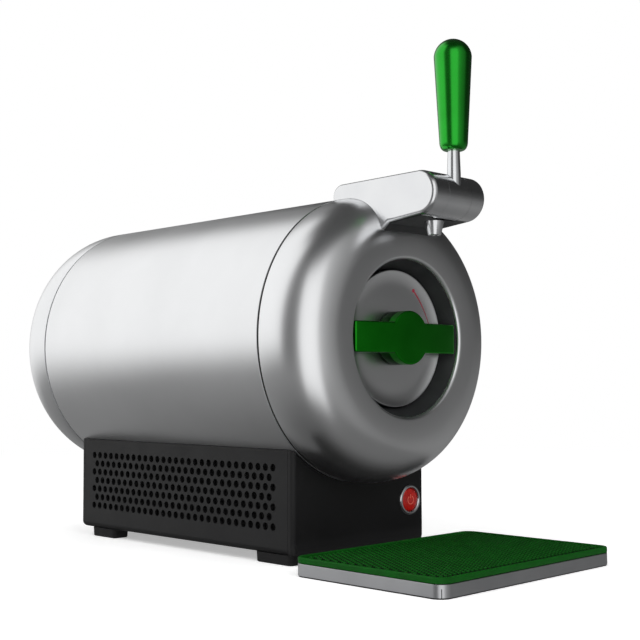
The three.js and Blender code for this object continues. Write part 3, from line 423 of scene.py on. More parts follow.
# %% [markdown]
# The barrel, its rear cap and the door are moulded ABS with a satin metallic lacquer: aluminium flakes
# under a dull clear coat. The tap is cast zinc in the same lacquer. On the large pieces the lacquer's
# roughness stays above 0.274. Below that the renderer's denoiser takes a surface for a mirror, and where
# the roughness wanders across it, fine contour lines show. Real flakes and brush marks are finer than a
# pixel, so they are drawn about half a millimetre wide.

# %% Silver finishes
# The flakes spread what they mirror into broad, soft bands, and close up they sparkle faintly.
SATIN_SILVER = finish_of("satin_metallic_lacquer_on_abs", "#ecedee", "#f1f2f3", (0.277, 0.297), 60, 0.5,
                         0.003, Metallic=1.0)
# A casting is ground before it is coated, so its bands are narrower and its rolled edges flash.
CAST_SILVER = finish_of("satin_lacquered_zinc_casting", "#e4e5e7", "#eaebec", (0.16, 0.2), 25, 0.6, 0.004,
                        Metallic=1.0)
# Plate over a finely blasted surface mirrors the studio clearly, but a little dulled. The dents of the
# blasting are drawn 1.5 mm wide, far coarser than real, or they wouldn't show.
CHROME = finish_of("satin_chrome_plate", "#e6e8ea", "#eceef0", (0.15, 0.19), 12, 1.5, 0.0008, Metallic=1.0)
# A turned or stamped steel part is a darker grey with a soft highlight.
STEEL = finish_of("bright_turned_steel", "#b9bbbd", "#c6c8ca", (0.28, 0.34), 10, 0.4, 0.004, Metallic=1.0)
# The brush runs round the band. Its level lines draw each highlight out upwards and downwards.
BRUSHED_STEEL = finish_of("brushed_stainless_steel", "#c2c3c6", "#cccdcf", (0.3, 0.38), 40, 0.35, 0.003,
                          stretch=(40, 40, 1), Metallic=1.0)
# The drawing die leaves fine lines along the cup, and the metal is paler and duller than steel.
ALUMINIUM = finish_of("drawn_aluminium", "#c3c6c9", "#cfd1d4", (0.34, 0.44), 18, 0.5, 0.005,
                      stretch=(1, 30, 1), Metallic=1.0)
print("silver finishes made")

# %% [markdown]
# The base is black ABS from a spark-eroded mould, the feet and the gasket are black rubber, and the mat is
# green rubber. Black plastic is never quite black: a little light always comes back from its pits. Real
# pits are too fine to show as well, so here they are about half a millimetre wide.

# %% Plastics and rubber
# The pits of the eroded mould take the shine off the black.
BLACK_ABS = finish_of("spark_eroded_black_abs", "#101011", "#141415", (0.5, 0.6), 30, 0.45, 0.02,
                      Specular_IOR_Level=0.4)
# A finer mould leaves a satin sheen, and the pigment is a dark grey.
DARK_GREY = finish_of("satin_dark_grey_abs", "#232425", "#2b2c2d", (0.4, 0.5), 20, 0.45, 0.006,
                      Specular_IOR_Level=0.4)
# Polypropylene flows smooth and stays a little waxy.
BLACK_INNER = finish_of("smooth_black_polypropylene", "#0f0f10", "#151516", (0.45, 0.6), 20, 0.6, 0.01)
# Inner mouldings are left in a neutral grey with a dull skin.
GREY_ABS = finish_of("moulded_grey_abs", "#6b6f72", "#767a7d", (0.45, 0.58), 25, 0.5, 0.012)
# Rubber takes the mould's texture and hardly mirrors at all.
BLACK_RUBBER = finish_of("moulded_black_rubber", "#0e0e0f", "#161617", (0.75, 0.88), 12, 0.5, 0.03)
# The mat's smooth rim is a deep green with little shine.
SMOOTH_RUBBER = finish_of("smooth_moulded_green_rubber", "#07480b", "#09540f", (0.5, 0.6), 16, 0.6, 0.008,
                          Specular_IOR_Level=0.15)
print("plastics and rubber made")

# %% [markdown]
# The hidden parts matter when the door is open, or when someone takes the part to pieces. Each gets the
# look that tells a service technician at a glance what it is.

# %% Foam, board and ceramic
# Swollen beads of 2.5 mm give a pale, dimpled skin without shine.
FOAM = finish_of("expanded_polystyrene_foam", "#dedac9", "#efece0", (0.85, 0.95), 14, 2.5, 0.25)
# Its open cells swallow the light, so it looks blacker than the plastic round it.
FILTER_FOAM = finish_of("black_reticulated_filter_foam", "#050505", "#0a0a0a", (0.9, 0.97), 9, 0.9, 0.15)
# Green solder mask over the glass weave, half glossy.
CIRCUIT_BOARD = finish_of("solder_mask_on_glass_fibre", "#15482a", "#23693d", (0.35, 0.5), 7, 0.8, 0.01)
# Fired and ground alumina is off-white and dull. Its grain is drawn coarser than real.
CERAMIC = finish_of("alumina_ceramic_plate", "#e2e2db", "#eeeee8", (0.6, 0.7), 15, 0.5, 0.01)
print("hidden finishes made")

# %% [markdown]
# Green is the accent, with small marks in red. The lock's bar and the grip are both green over metal flake,
# but the bar's coat is satin and opaque, and the grip's is a clear candy coat. The lens of the button lets
# some light through, which gives the red its depth. Flakes and ink are again drawn coarser than real, about
# half a millimetre wide.

# %% Greens and reds
# Green flakes in a satin coat: the colour itself shines, and softly.
GREEN_LACQUER = finish_of("satin_green_metallic_lacquer", "#1b951b", "#229f22", (0.3, 0.36), 30, 0.5, 0.004,
                          Metallic=1.0)
# Painted shade: the hub's drum gets a darker copy of the bar's green, for the shade and dark reflections
# behind the bar, so the bar seems to float before it.
SHADED_GREEN = finish_of("green_lacquer_with_painted_shade", "#0a3d0c", "#0d4810", (0.38, 0.46), 30, 0.5, 0.004,
                       Metallic=1.0)
# It glows where it mirrors a light and goes nearly black where it doesn't.
CANDY_GREEN = finish_of("candy_green_lacquer_over_flake", "#18a324", "#1fb32c", (0.22, 0.27), 30, 0.5, 0.002,
                        Metallic=1.0, Coat_Weight=0.4, Coat_Roughness=0.1)
# Printed ink dries to a thin, slightly glossy crimson film.
RED_INK = finish_of("red_pad_printing_ink", "#93253a", "#a32f45", (0.4, 0.5), 8, 0.5, 0.003)
# A polished mould and a tint in the polycarbonate give a glossy, glowing red.
RED_LENS = finish_of("red_tinted_polycarbonate_lens", "#c81309", "#e0200f", (0.12, 0.2), 5, 1.5, 0.003,
                     Transmission_Weight=0.25, Coat_Weight=0.5)
# The second shot of plastic is opaque and paler, so the symbol reads against the lens.
PALE_INK = finish_of("pale_red_moulded_symbol", "#e8604a", "#f0745c", (0.3, 0.4), 3, 0.4, 0.002)
print("coloured finishes made")

# %% [markdown]
# ## The barrel
# The shell is one tube and the rear cap one deep dish, moulded and lacquered. Both are lathe shapes, so
# their profiles are drawn point by point and carried round the axis. The shell gives way to the door's
# hinge on the right, and to the cold block below. All distances along the barrel are counted from the
# door's seam.

# %% Shell
WALL = 2.5
FIT = 0.3
SHELL_LENGTH = 313.8
BARREL_SIDES = 192
POCKET_INNER, POCKET_OUTER = 109.5, 130.0
POCKET_REACH = 9.0
POCKET_HALF = 35.1
WELL_HALF = 25.5
WELL_MIDDLE = 160.0
WELL_LOW, WELL_HIGH = -128.0, -1.5

hinge_pocket = brick((POCKET_INNER, SEAM_Y - POCKET_REACH, AXIS_Z - POCKET_HALF),
                     (POCKET_OUTER, SEAM_Y + POCKET_REACH, AXIS_Z + POCKET_HALF))
cold_well = brick((-WELL_HALF, SEAM_Y + WELL_MIDDLE - WELL_HALF, AXIS_Z + WELL_LOW),
                  (WELL_HALF, SEAM_Y + WELL_MIDDLE + WELL_HALF, AXIS_Z + WELL_HIGH))
shell_profile = rounded(oblong(BARREL_RADIUS - WALL, BARREL_RADIUS, SEAM_HALF, SHELL_LENGTH), 0.4, 4)
dress("barrel_tube", turned(shell_profile, BARREL_SIDES, "y", BARREL), "cabinet", SATIN_SILVER,
      ["barrel_shell"], cuts=[hinge_pocket, cold_well])

# %% [markdown]
# The rear cap starts with a short straight wall, then bends into its flat end. The bend is a quarter of an
# ellipse. A spigot inside it slides into the shell, as two mouldings that share a seam are made to find
# each other.

# %% Rear cap
REAR_SEAM = 1.8
REAR_STRAIGHT = 12.8
REAR_RISE = 31.8
REAR_DEPTH = 43.4
SPIGOT_LENGTH = 8.0


def shoulder(radius, start, rise, depth, direction, power, steps):
    """Quarter of a superellipse between a cylinder and a flat face: the radius falls by
    rise * (1 - cos a ** (2 / power)) while the distance grows by depth * sin a ** (2 / power)."""
    a = np.linspace(0, np.pi / 2, steps + 1)
    fall = rise * (1 - np.abs(np.cos(a)) ** (2 / power))
    return np.column_stack([radius - fall, start + direction * depth * np.sin(a) ** (2 / power)])


rear_start = SHELL_LENGTH + REAR_SEAM
rear_bend = rear_start + REAR_STRAIGHT
rear_end = rear_bend + REAR_DEPTH
rear_outer = shoulder(BARREL_RADIUS, rear_bend, REAR_RISE, REAR_DEPTH, 1, 2, 28)
rear_inner = shoulder(BARREL_RADIUS - WALL, rear_bend, REAR_RISE, REAR_DEPTH - WALL, 1, 2, 14)[::-1]
rear_edge = [[BARREL_RADIUS - 0.3, rear_start], [BARREL_RADIUS - 0.08, rear_start + 0.08],
             [BARREL_RADIUS, rear_start + 0.3]]
spigot = BARREL_RADIUS - WALL - FIT
rear_spigot = [[spigot - WALL, rear_start + WALL], [spigot - WALL, rear_start - SPIGOT_LENGTH],
               [spigot, rear_start - SPIGOT_LENGTH], [spigot, rear_start]]
rear_profile = np.concatenate([rear_edge, rear_outer, [[0, rear_end], [0, rear_end - WALL]], rear_inner,
                               rear_spigot])
dress("rear_dome", turned(rear_profile, BARREL_SIDES, "y", BARREL), "cabinet", SATIN_SILVER, ["rear_cap"])

# %% [markdown]
# The mouth of the barrel is what the open door shows: a black moulded ring with the drawn aluminium chamber
# behind it. Their edges are rounded as a moulding's and a drawn cup's are.

# %% Mouth and chamber
MOUTH_SIDES = 160
CHAMBER = 66.0
MOUTH_HALF = 0.6
MOUTH_BACK = 3.0
MOUTH_COLLAR = 12.0
collar = BARREL_RADIUS - WALL - FIT
ring_profile = rounded(
    [[CHAMBER, -MOUTH_HALF], [BARREL_RADIUS - FIT, -MOUTH_HALF], [BARREL_RADIUS - FIT, MOUTH_HALF],
     [collar, MOUTH_HALF], [collar, MOUTH_COLLAR], [collar - WALL, MOUTH_COLLAR], [collar - WALL, MOUTH_BACK],
     [CHAMBER, MOUTH_BACK]], [0.8, 0.3, 0.3, 0.0, 0.3, 0.3, 0.5, 0.8], 3)
dress("mouth_frame", turned(ring_profile, MOUTH_SIDES, "y", BARREL), "cabinet", BLACK_ABS, ["mouth_ring"],
      cuts=[hinge_pocket])

CUP_WALL = 1.5
CUP_START = MOUTH_BACK + FIT
CUP_END = 300.0
CUP_FLANGE = CHAMBER + 11.5
liner_profile = rounded(
    [[CHAMBER, CUP_START], [CUP_FLANGE, CUP_START], [CUP_FLANGE, CUP_START + CUP_WALL],
     [CHAMBER + CUP_WALL, CUP_START + CUP_WALL], [CHAMBER + CUP_WALL, CUP_END], [0, CUP_END],
     [0, CUP_END - CUP_WALL], [CHAMBER, CUP_END - CUP_WALL]], [0.7, 0.3, 0.3, 0.0, 4.0, 0.0, 0.0, 4.0], 5)
dress("chamber_cup", turned(liner_profile, MOUTH_SIDES, "y", BARREL), "cabinet", ALUMINIUM, ["keg_liner"])

# %% [markdown]
# ## The door
# The front cap is the door. Its shoulder is fuller than a circle's, which a superellipse gives with one
# number, and the face dips gently from the shoulder to the lip. The lip rolls over into the recess, and
# that small roll catches a bright line of light. FACE is the plane from which disc and handle are measured.

# %% Front cap
DOME = {"start": -9, "rise": 40, "depth": 44, "direction": -1, "power": 2.15}
FACE = -53.6
FACE_DIP = [[79, -52.93], [74, -52.74]]
LIP = 65.8
LIP_FACE = -52.4
LIP_ROLL = 3.0
LIP_DEPTH = 3.4

roll = np.linspace(0, np.pi / 2, 9)
lip_roll = np.column_stack([LIP + LIP_ROLL * (1 - np.sin(roll)), LIP_FACE + LIP_ROLL * (1 - np.cos(roll))])
lip_end = LIP_FACE + LIP_DEPTH
cap_edge = [[BARREL_RADIUS - 0.4, -SEAM_HALF], [BARREL_RADIUS - 0.1, -SEAM_HALF - 0.1],
            [BARREL_RADIUS, -SEAM_HALF - 0.5]]
cap_outer = shoulder(BARREL_RADIUS, **DOME, steps=40)
cap_inner = shoulder(BARREL_RADIUS - WALL, **{**DOME, "depth": DOME["depth"] - WALL}, steps=18)[::-1]
cap_profile = np.concatenate([
    cap_edge, cap_outer[:-1], FACE_DIP, lip_roll,
    [[LIP, lip_end], [LIP + WALL, lip_end], [LIP + WALL, LIP_FACE + WALL]], cap_inner,
    [[BARREL_RADIUS - WALL, -SEAM_HALF]]])
dress("door_dome", turned(cap_profile, BARREL_SIDES, "y", BARREL), "door", SATIN_SILVER, ["front_cap"],
      cuts=[hinge_pocket])

# %% [markdown]
# The recess is a cone of dark grey plastic that ends in a silver disc. The disc is level in the middle and
# dished up towards its edge, where it mirrors the light in front as the thin bright ring that the
# photograph shows.

# %% Recess and disc
RECESS_WALL = [[65.9, -48.7], [59.3, -33.6], [58.0, -31.6], [60.2, -31.6], [67.4, -46.9], [67.4, -48.7]]
wall_profile = rounded(RECESS_WALL, [0.25, 0.5, 0.3, 0.5, 0.3, 0.3], 3)
dress("lock_recess_wall", turned(wall_profile, MOUTH_SIDES, "y", BARREL), "door", DARK_GREY, ["lock_dish"])

DISC = FACE + 19.1
DISC_THICK = 2.2
DISC_EDGE = 57.7
BUSH_RADIUS = 8.3
DISH_START = 42.0
DISH_WIDTH = 14.4
DISH_RISE = 2.4


def disc_level(radius):
    """Distance of the disc's face along the axis: level in the middle, then up by the cube to the edge."""
    return DISC - DISH_RISE * np.clip((radius - DISH_START) / DISH_WIDTH, 0, 1) ** 3


dish_radius = np.linspace(DISH_START, DISH_START + DISH_WIDTH, 16)
disc_back = rounded([[DISC_EDGE, DISC - DISH_RISE - 0.3], [DISC_EDGE, DISC + DISC_THICK],
                     [BUSH_RADIUS, DISC + DISC_THICK]], [0.6, 0.2, 0.2], 4)
disc_profile = np.concatenate([[[BUSH_RADIUS, DISC]], np.column_stack([dish_radius, disc_level(dish_radius)]),
                               disc_back])
dress("lock_disc", turned(disc_profile, MOUTH_SIDES, "y", BARREL), "door", SATIN_SILVER, ["lock_dish"])

# %% [markdown]
# The red print marks which way the lock turns: a stroke that grows towards a round dot. A real pad print is
# a few hundredths of a millimetre thick. An image could show it, but here it is a film that stands 0.12 mm
# proud of the disc, so it also exists as a shape.

# %% Print on the disc
FILM_RISE = 0.12
STROKE_FROM, STROKE_SWEEP = 17.0, 41.4
STROKE_RADIUS, STROKE_SAG, STROKE_DRIFT = 47.4, 5.2, 1.4
STROKE_HALF, STROKE_GROWTH = 0.25, 0.45
DOT_RADIUS = 1.6


def film(rows, level, under):
    """A thin film on a turned surface, between outlines of (x, z) that run side by side. The surface lies at
    level(radius) along the axis, the film's outside FILM_RISE in front of it, and its inside under it."""
    radius = np.linalg.norm(rows, axis=-1)
    sheets = [np.stack([rows[..., 0], level(radius) - lift, rows[..., 1]], axis=-1)
              for lift in (FILM_RISE, -under)]
    points = np.concatenate([sheets[0], sheets[1][::-1]])
    columns = rows.shape[1]
    faces = grid_faces(*points.shape[:2], wrap_rows=True)
    faces += [[row * columns + end for row in range(len(points))] for end in (0, columns - 1)]
    return points.reshape(-1, 3), faces


stroke = np.linspace(0, 1, 32)
stroke_angle = np.radians(STROKE_FROM + STROKE_SWEEP * stroke)
stroke_radius = STROKE_RADIUS - STROKE_SAG * stroke * (1 - stroke) + STROKE_DRIFT * stroke
stroke_half = STROKE_HALF + STROKE_GROWTH * stroke
stroke_rows = np.stack([np.column_stack([(stroke_radius + side * stroke_half) * np.cos(stroke_angle),
                                         (stroke_radius + side * stroke_half) * np.sin(stroke_angle)])
                        for side in (-1, 1)])
dot_along = np.linspace(-1, 1, 15) * 0.999
dot_middle = stroke_radius[-1] * np.array([np.cos(stroke_angle[-1]), np.sin(stroke_angle[-1])])
dot_chords = [np.column_stack([dot_along, side * np.sqrt(1 - dot_along ** 2)]) for side in (-1, 0, 1)]
dot_rows = dot_middle + DOT_RADIUS * np.stack(dot_chords)
for name, rows in (("turn_mark_stroke", stroke_rows), ("turn_mark_dot", dot_rows)):
    dress(name, moved(film(rows, disc_level, 0.1), BARREL), "door", RED_INK)

# %% [markdown]
# ## The lock's handle
# The handle is a bar with a round hub, and its front is one shallow arch from tip to tip. The front slab is
# a grid: along the bar the half height is the bar's or the hub's circle, whichever is greater, and round
# each section the edges are rolled over. The hub's drum is turned, stands behind it and takes the spindle.

# %% Handle
ARM_REACH = 62.0
ARM_HALF = 12.6
HUB_RADIUS = 22.5
HUB_BORE = 5.3
HUB_REAR = -35.7
HANDLE_FRONT = FACE - 0.6
ARCH_DEPTH = 4.2
ARM_REAR = HANDLE_FRONT + ARCH_DEPTH + 3.8
EDGE = 1.3


def handle_slab(columns=121, bend_steps=6):
    """Section after section along x. A section is a rectangle with two rolled front corners: its half height
    is max(arm, sqrt(hub ** 2 - x ** 2)) and its front lies on a circle through the tips and the middle."""
    end_roll = np.linspace(0, np.pi / 2, 6)
    ends = ARM_REACH - EDGE * (1 - np.sin(end_roll))
    middle = np.linspace(-ARM_REACH + EDGE, ARM_REACH - EDGE, columns)[1:-1]
    x = np.concatenate([-ends[::-1], middle, ends])
    beyond = np.clip((np.abs(x) - ARM_REACH + EDGE) / EDGE, 0, 1)
    shrink = EDGE * (1 - np.cos(np.arcsin(beyond)))
    half = np.maximum(ARM_HALF, np.sqrt(np.clip(HUB_RADIUS ** 2 - x ** 2, 0, None)))
    arch = (ARM_REACH ** 2 + ARCH_DEPTH ** 2) / (2 * ARCH_DEPTH)
    front = HANDLE_FRONT + arch - np.sqrt(arch ** 2 - x ** 2)
    bend = np.linspace(0, np.pi / 2, bend_steps + 1)
    across = np.concatenate([[-1.0], -1 + 0 * bend, 1 + 0 * bend, [1.0]])
    roll_in = EDGE * (1 - np.cos(bend))
    roll_back = EDGE * (1 - np.sin(bend))
    roll_in = np.concatenate([[0.0], roll_in, roll_in[::-1], [0.0]])
    roll_back = np.concatenate([[np.nan], roll_back, roll_back[::-1], [np.nan]])
    z = across[None] * (half[:, None] - shrink[:, None] - roll_in[None])
    y = front[:, None] + shrink[:, None] + roll_back[None]
    y = np.where(np.isnan(y), ARM_REAR - shrink[:, None], y)
    points = np.stack([np.broadcast_to(x[:, None], y.shape), y, z], axis=-1)
    faces = grid_faces(*y.shape, wrap_columns=True)
    width = y.shape[1]
    faces += [list(range(width)), list(range((len(x) - 1) * width, len(x) * width))]
    return points.reshape(-1, 3), faces


dress("handle_bar", moved(handle_slab(), BARREL), "lock", GREEN_LACQUER, ["lock_handle"],
      flats=True)
hub_profile = rounded(oblong(HUB_BORE, HUB_RADIUS, ARM_REAR, HUB_REAR), [0.2, 0.05, 0.6, 0.3], 3)
# The drum's darker green is painted shade.
dress("handle_drum", turned(hub_profile, 96, "y", BARREL), "lock", SHADED_GREEN, ["lock_handle"])

# %% [markdown]
# ## Inside the door
# Opening the door shows its grey liner with the plug that closes the chamber, and the rubber gasket round
# it. The liner's corners are rounded as a moulding's must be, and the gasket has the bulging lip of an
# extruded seal. A window in the plug's side lets the latch bolt out.

# %% Liner and gasket
PLUG = CHAMBER - 2
PLUG_DEPTH = 12.0
PLUG_WALL = 2.0
LINER_FRONT = -6.0
LINER_FACE = -3.4
liner_edge = BARREL_RADIUS - WALL - FIT
door_liner_profile = rounded(
    [[liner_edge, LINER_FRONT], [liner_edge, LINER_FACE], [PLUG, LINER_FACE], [PLUG, PLUG_DEPTH],
     [0, PLUG_DEPTH], [0, PLUG_DEPTH - PLUG_WALL], [PLUG - PLUG_WALL, PLUG_DEPTH - PLUG_WALL],
     [PLUG - PLUG_WALL, LINER_FRONT]], [0.3, 0.5, 1.0, 2.5, 0, 0, 1.0, 0.3], 5)
WINDOW_X = (-PLUG - 6, -PLUG + 8)
WINDOW_Y = (SEAM_Y + 0.8, SEAM_Y + 6.8)
WINDOW_HALF = 7.5
bolt_window = brick((WINDOW_X[0], WINDOW_Y[0], AXIS_Z - WINDOW_HALF),
                    (WINDOW_X[1], WINDOW_Y[1], AXIS_Z + WINDOW_HALF))
dress("door_inner_liner", turned(door_liner_profile, MOUTH_SIDES, "y", BARREL), "door", GREY_ABS,
      ["door_liner"], cuts=[hinge_pocket, bolt_window])

SEAL_MIDDLE, SEAL_HALF = 77.0, 3.0
SEAL_BASE, SEAL_BULGE = -2.3, 1.35
lip = np.linspace(0, np.pi, 13)
gasket_profile = np.concatenate([
    [[SEAL_MIDDLE - SEAL_HALF, LINER_FACE], [SEAL_MIDDLE + SEAL_HALF, LINER_FACE]],
    np.column_stack([SEAL_MIDDLE + SEAL_HALF * np.cos(lip), SEAL_BASE + SEAL_BULGE * np.sin(lip)])])
dress("door_seal", turned(gasket_profile, 128, "y", BARREL), "door", BLACK_RUBBER, ["door_gasket"])

# %% [markdown]
# The hinge is stamped steel: two leaves whose edges are rolled into knuckles round one upright pin. The
# cabinet's leaf has the outer two knuckles and the door's leaf the middle one, so the door can't drop.

# %% Hinge
HINGE_X = 117.0
HINGE = (HINGE_X, SEAM_Y, AXIS_Z)
LEAF_INNER, LEAF_OUTER = 87.0, 110.0
LEAF_HALF = 30.0
KNUCKLE_BORE, KNUCKLE_RADIUS = 2.3, 5.0
WEB = (109.0, 113.4)
PIN_RADIUS = 2.0


def hinge_leaf(plate, knuckles):
    """A plate and the rolled knuckles that stand on its edge, as one list of solids."""
    front, back = SEAM_Y + plate[0], SEAM_Y + plate[1]
    outline = oblong(LEAF_INNER, LEAF_OUTER, AXIS_Z - LEAF_HALF, AXIS_Z + LEAF_HALF)
    solids = [slab(outline, front, back, 0.3, 2, "xz")]
    for low, high in knuckles:
        knuckle = rounded(oblong(KNUCKLE_BORE, KNUCKLE_RADIUS, low, high), 0.35, 3)
        solids.append(turned(knuckle, 40, "z", HINGE))
        solids.append(brick((WEB[0], front, AXIS_Z + low + 0.2), (WEB[1], back, AXIS_Z + high - 0.2)))
    return solids


for leaf, body, plate, knuckles in (
        ("hinge_leaf_fixed", "cabinet", (3.3, 5.3), ((-LEAF_HALF, -10.3), (10.3, LEAF_HALF))),
        ("hinge_leaf_door", "door", (-3.4, -1.4), ((-10, 10),))):
    solids = hinge_leaf(plate, knuckles)
    dress(leaf + "_rolled", solids[0], body, STEEL, [leaf], joins=solids[1:], flats=True)
pin_profile = rounded(oblong(0, PIN_RADIUS, -LEAF_HALF, LEAF_HALF), [0, 0.5, 0.5, 0], 3)
dress("hinge_rod", turned(pin_profile, 40, "z", HINGE), "cabinet", STEEL, ["hinge_pin"])

# %% [markdown]
# ## The tap
# The tap is a zinc casting that sits astride the seam. Its side outline has a rounded tail, a long flat
# cheek and a round nose over a wedge-shaped chin. The nose's circle ends where the chin's straight edge
# touches it, which the angle to the chin and an arc cosine give.

# %% Tap outline
NOSE = (-90.5, 113.7)
NOSE_RADIUS = 18.2
CHIN = (-58.9, 92.2)
TAIL = (-4.3, 121)
TAIL_RADIUS = 10
TAP_LOW = 78
TAP_BED_FRONT, TAP_THROAT = -44, (-51.9, 86.9)


def arc_of(middle, radius, turn):
    """Points of a circle at turn t: (middle + radius cos t, middle + radius sin t)."""
    return np.column_stack([middle[0] + radius * np.cos(turn), middle[1] + radius * np.sin(turn)])


chin_gap = np.hypot(CHIN[0] - NOSE[0], NOSE[1] - CHIN[1])
chin_angle = math.atan2(NOSE[1] - CHIN[1], CHIN[0] - NOSE[0])
nose_end = 2 * np.pi - chin_angle - math.acos(NOSE_RADIUS / chin_gap)
nose_turn = np.linspace(np.pi / 2, nose_end, 48)
nose_arc = arc_of(NOSE, NOSE_RADIUS, nose_turn)
tail_turn = np.linspace(0, np.pi / 2, 14)
tail_arc = arc_of(TAIL, TAIL_RADIUS, tail_turn)
tap_foot = [[TAP_BED_FRONT, TAP_LOW], [TAIL[0] + TAIL_RADIUS, TAP_LOW]]
tap_outline = np.concatenate([tap_foot, tail_arc, nose_arc, [CHIN, TAP_THROAT]])
print("the tap's outline has", len(tap_outline), "points, and its nose sweeps to",
      round(math.degrees(nose_end)), "degrees")

# %% [markdown]
# The outline is carried across with broad rolled edges, then the cap's own surface is cut from it, so it
# fits the dome closely. A drum turns between its cheeks and completes the nose.

# %% Tap body
TAP_HALF = 32.7
TAP_EDGE = 4.0
TAP_GAP = 0.15
FORK_HALF = 14.3
PIN_BORE, PIN_HALF = 3.3, 29.3
NOSE_PLACE = (0, SEAM_Y + NOSE[0], AXIS_Z + NOSE[1])
SPOUT = (0, SEAM_Y - 80.5, AXIS_Z)
SPOUT_LOW, SPOUT_HIGH, SPOUT_SEAT = 83.0, 94.6, 8.3
BED_BACK, BED_FLAT = 20, 70

bed_radius = BARREL_RADIUS + TAP_GAP
bed_shoulder = shoulder(bed_radius, **{**DOME, "depth": DOME["depth"] + TAP_GAP}, steps=40)
bed = np.concatenate([[[0, BED_BACK], [bed_radius, BED_BACK], [bed_radius, -SEAM_HALF]], bed_shoulder,
                      [[BED_FLAT, FACE - TAP_GAP], [0, FACE - TAP_GAP]]])
fork = turned(oblong(0, NOSE_RADIUS + 0.5, -FORK_HALF, FORK_HALF), 96, "x", NOSE_PLACE)
pin_bore = turned(oblong(0, PIN_BORE, -PIN_HALF, PIN_HALF), 32, "x", NOSE_PLACE)
spout_seat = turned(oblong(0, SPOUT_SEAT, SPOUT_LOW, SPOUT_HIGH + FIT), 64, "z", SPOUT)
tap_solid = moved(slab(tap_outline, -TAP_HALF, TAP_HALF, TAP_EDGE, 7, "yz"), BARREL)
tap_cuts = [turned(bed, BARREL_SIDES, "y", BARREL), fork, pin_bore, spout_seat]
casting = dress("tap_casting", tap_solid, "door", CAST_SILVER, ["tap_body"], cuts=tap_cuts,
                sharp=25, flats=True)

# %% [markdown]
# The faces of the casting that look down get a second material, a dark grey: painted shade under the tap.

# %% Tap's underside
LOOKS_DOWN = -0.75
# Painted shade: the faces that look down are coloured dark grey.
casting.data.materials.append(DARK_GREY)
chin_front = (SEAM_Y + NOSE[0] - 1.5) * MM
for face in casting.data.polygons:
    if face.normal.z < LOOKS_DOWN and face.center.y > chin_front:
        face.material_index = 1
print("faces in painted shade:", sum(face.material_index for face in casting.data.polygons))

# %% [markdown]
# The spout is a short tube under the chin, coated as the casting is, which narrows towards its mouth. The
# drum in the nose carries a chromed rod whose foot is thicker than its neck. The grip is turned: a taper
# with a round top, in candy green.

# %% Spout, drum, rod and grip
spout_profile = rounded([[4.1, SPOUT_LOW], [5.3, SPOUT_LOW], [8.1, SPOUT_HIGH], [6.4, SPOUT_HIGH]],
                        [0.4, 0.5, 0.2, 0.2], 4)
dress("spout_tube", turned(spout_profile, 96, "z", SPOUT), "door", CAST_SILVER, ["spout"])

DRUM_HALF = FORK_HALF - TAP_GAP
DRUM_BORE = 3.5
ROD = (0, SEAM_Y - 101.5, AXIS_Z)
ROD_FOOT, ROD_NECK = 5.5, 4.8
ROD_LOW, ROD_HIGH = 118, 190
ROD_TAPER = (131, 152)
SOCKET_TOP = 140
drum_profile = rounded(oblong(DRUM_BORE, NOSE_RADIUS, -DRUM_HALF, DRUM_HALF), 0.12, 2)
drum_socket = turned(oblong(0, ROD_FOOT + FIT, ROD_LOW - FIT, SOCKET_TOP), 48, "z", ROD)
dress("lever_drum", turned(drum_profile, 128, "x", NOSE_PLACE), "lever", CAST_SILVER, ["lever_hub"],
      cuts=[drum_socket], flats=True)
rod_profile = rounded([[0, ROD_LOW], [ROD_FOOT, ROD_LOW], [ROD_FOOT, ROD_TAPER[0]], [ROD_NECK, ROD_TAPER[1]],
                       [ROD_NECK, ROD_HIGH], [0, ROD_HIGH]], [0, 0.3, 30, 30, 0.5, 0], 6)
dress("lever_stem", turned(rod_profile, 64, "z", ROD), "lever", CHROME, ["lever_rod"])

GRIP_LOW, GRIP_FOOT, GRIP_BEND = 150, 7.4, (4.2, 7)
GRIP_TOP, GRIP_RADIUS = 226, 15.5
GRIP_BORE = ROD_NECK + FIT
top = np.linspace(0.06, np.pi / 2, 22)
foot = np.linspace(0, np.pi / 2, 10)
grip_profile = np.concatenate([
    [[0, ROD_HIGH + FIT], [GRIP_BORE, ROD_HIGH + FIT], [GRIP_BORE, GRIP_LOW], [GRIP_FOOT, GRIP_LOW]],
    np.column_stack([GRIP_FOOT + GRIP_BEND[0] * np.sin(foot), GRIP_LOW + GRIP_BEND[1] * (1 - np.cos(foot))]),
    np.column_stack([GRIP_RADIUS * np.cos(top), GRIP_TOP + GRIP_RADIUS * np.sin(top)])])
dress("grip_body", turned(grip_profile, 96, "z", ROD), "lever", CANDY_GREEN, ["lever_grip"])

# %% [markdown]
# ## The base
# The base is one black moulding: a front wall under the barrel's belly, a rear wall and a floor. Its
# vertical corners have a small radius. The lower edge is nearly square along the front wall and broadly
# rounded along the sides and the rear. The outline is therefore drawn in by different shares as it goes
# down.

# %% Outline of the base
BASE_HALF = 81.0
BASE_FRONT = SEAM_Y + 3.3
BASE_REAR = SEAM_Y + 311.0
BASE_LOW = 8.5
BASE_WALL = 3.0
WALLS_TOP = 175.0
CORNER = 4.0
CORNER_RETURN = 6.0
UNDER_ROUND = 5.5
FRONT_ROUND_SHARE = 0.15


def base_outline(drawn_in):
    """The base's outline drawn in by a distance: fully at the rear and the sides, and by a small share of it
    along the front wall, whose lower edge is nearly square."""
    half, rear = BASE_HALF - drawn_in, BASE_REAR - drawn_in
    front_half, front = BASE_HALF - FRONT_ROUND_SHARE * drawn_in, BASE_FRONT + FRONT_ROUND_SHARE * drawn_in
    step = BASE_FRONT + CORNER_RETURN - FIT
    corner = max(CORNER - drawn_in, 1.0)
    return rounded([[-front_half, front], [front_half, front], [front_half, step], [half, step + 0.05],
                    [half, rear], [-half, rear], [-half, step + 0.05], [-front_half, step]],
                   [CORNER, CORNER, 0, 0, corner, corner, 0, 0], 7)


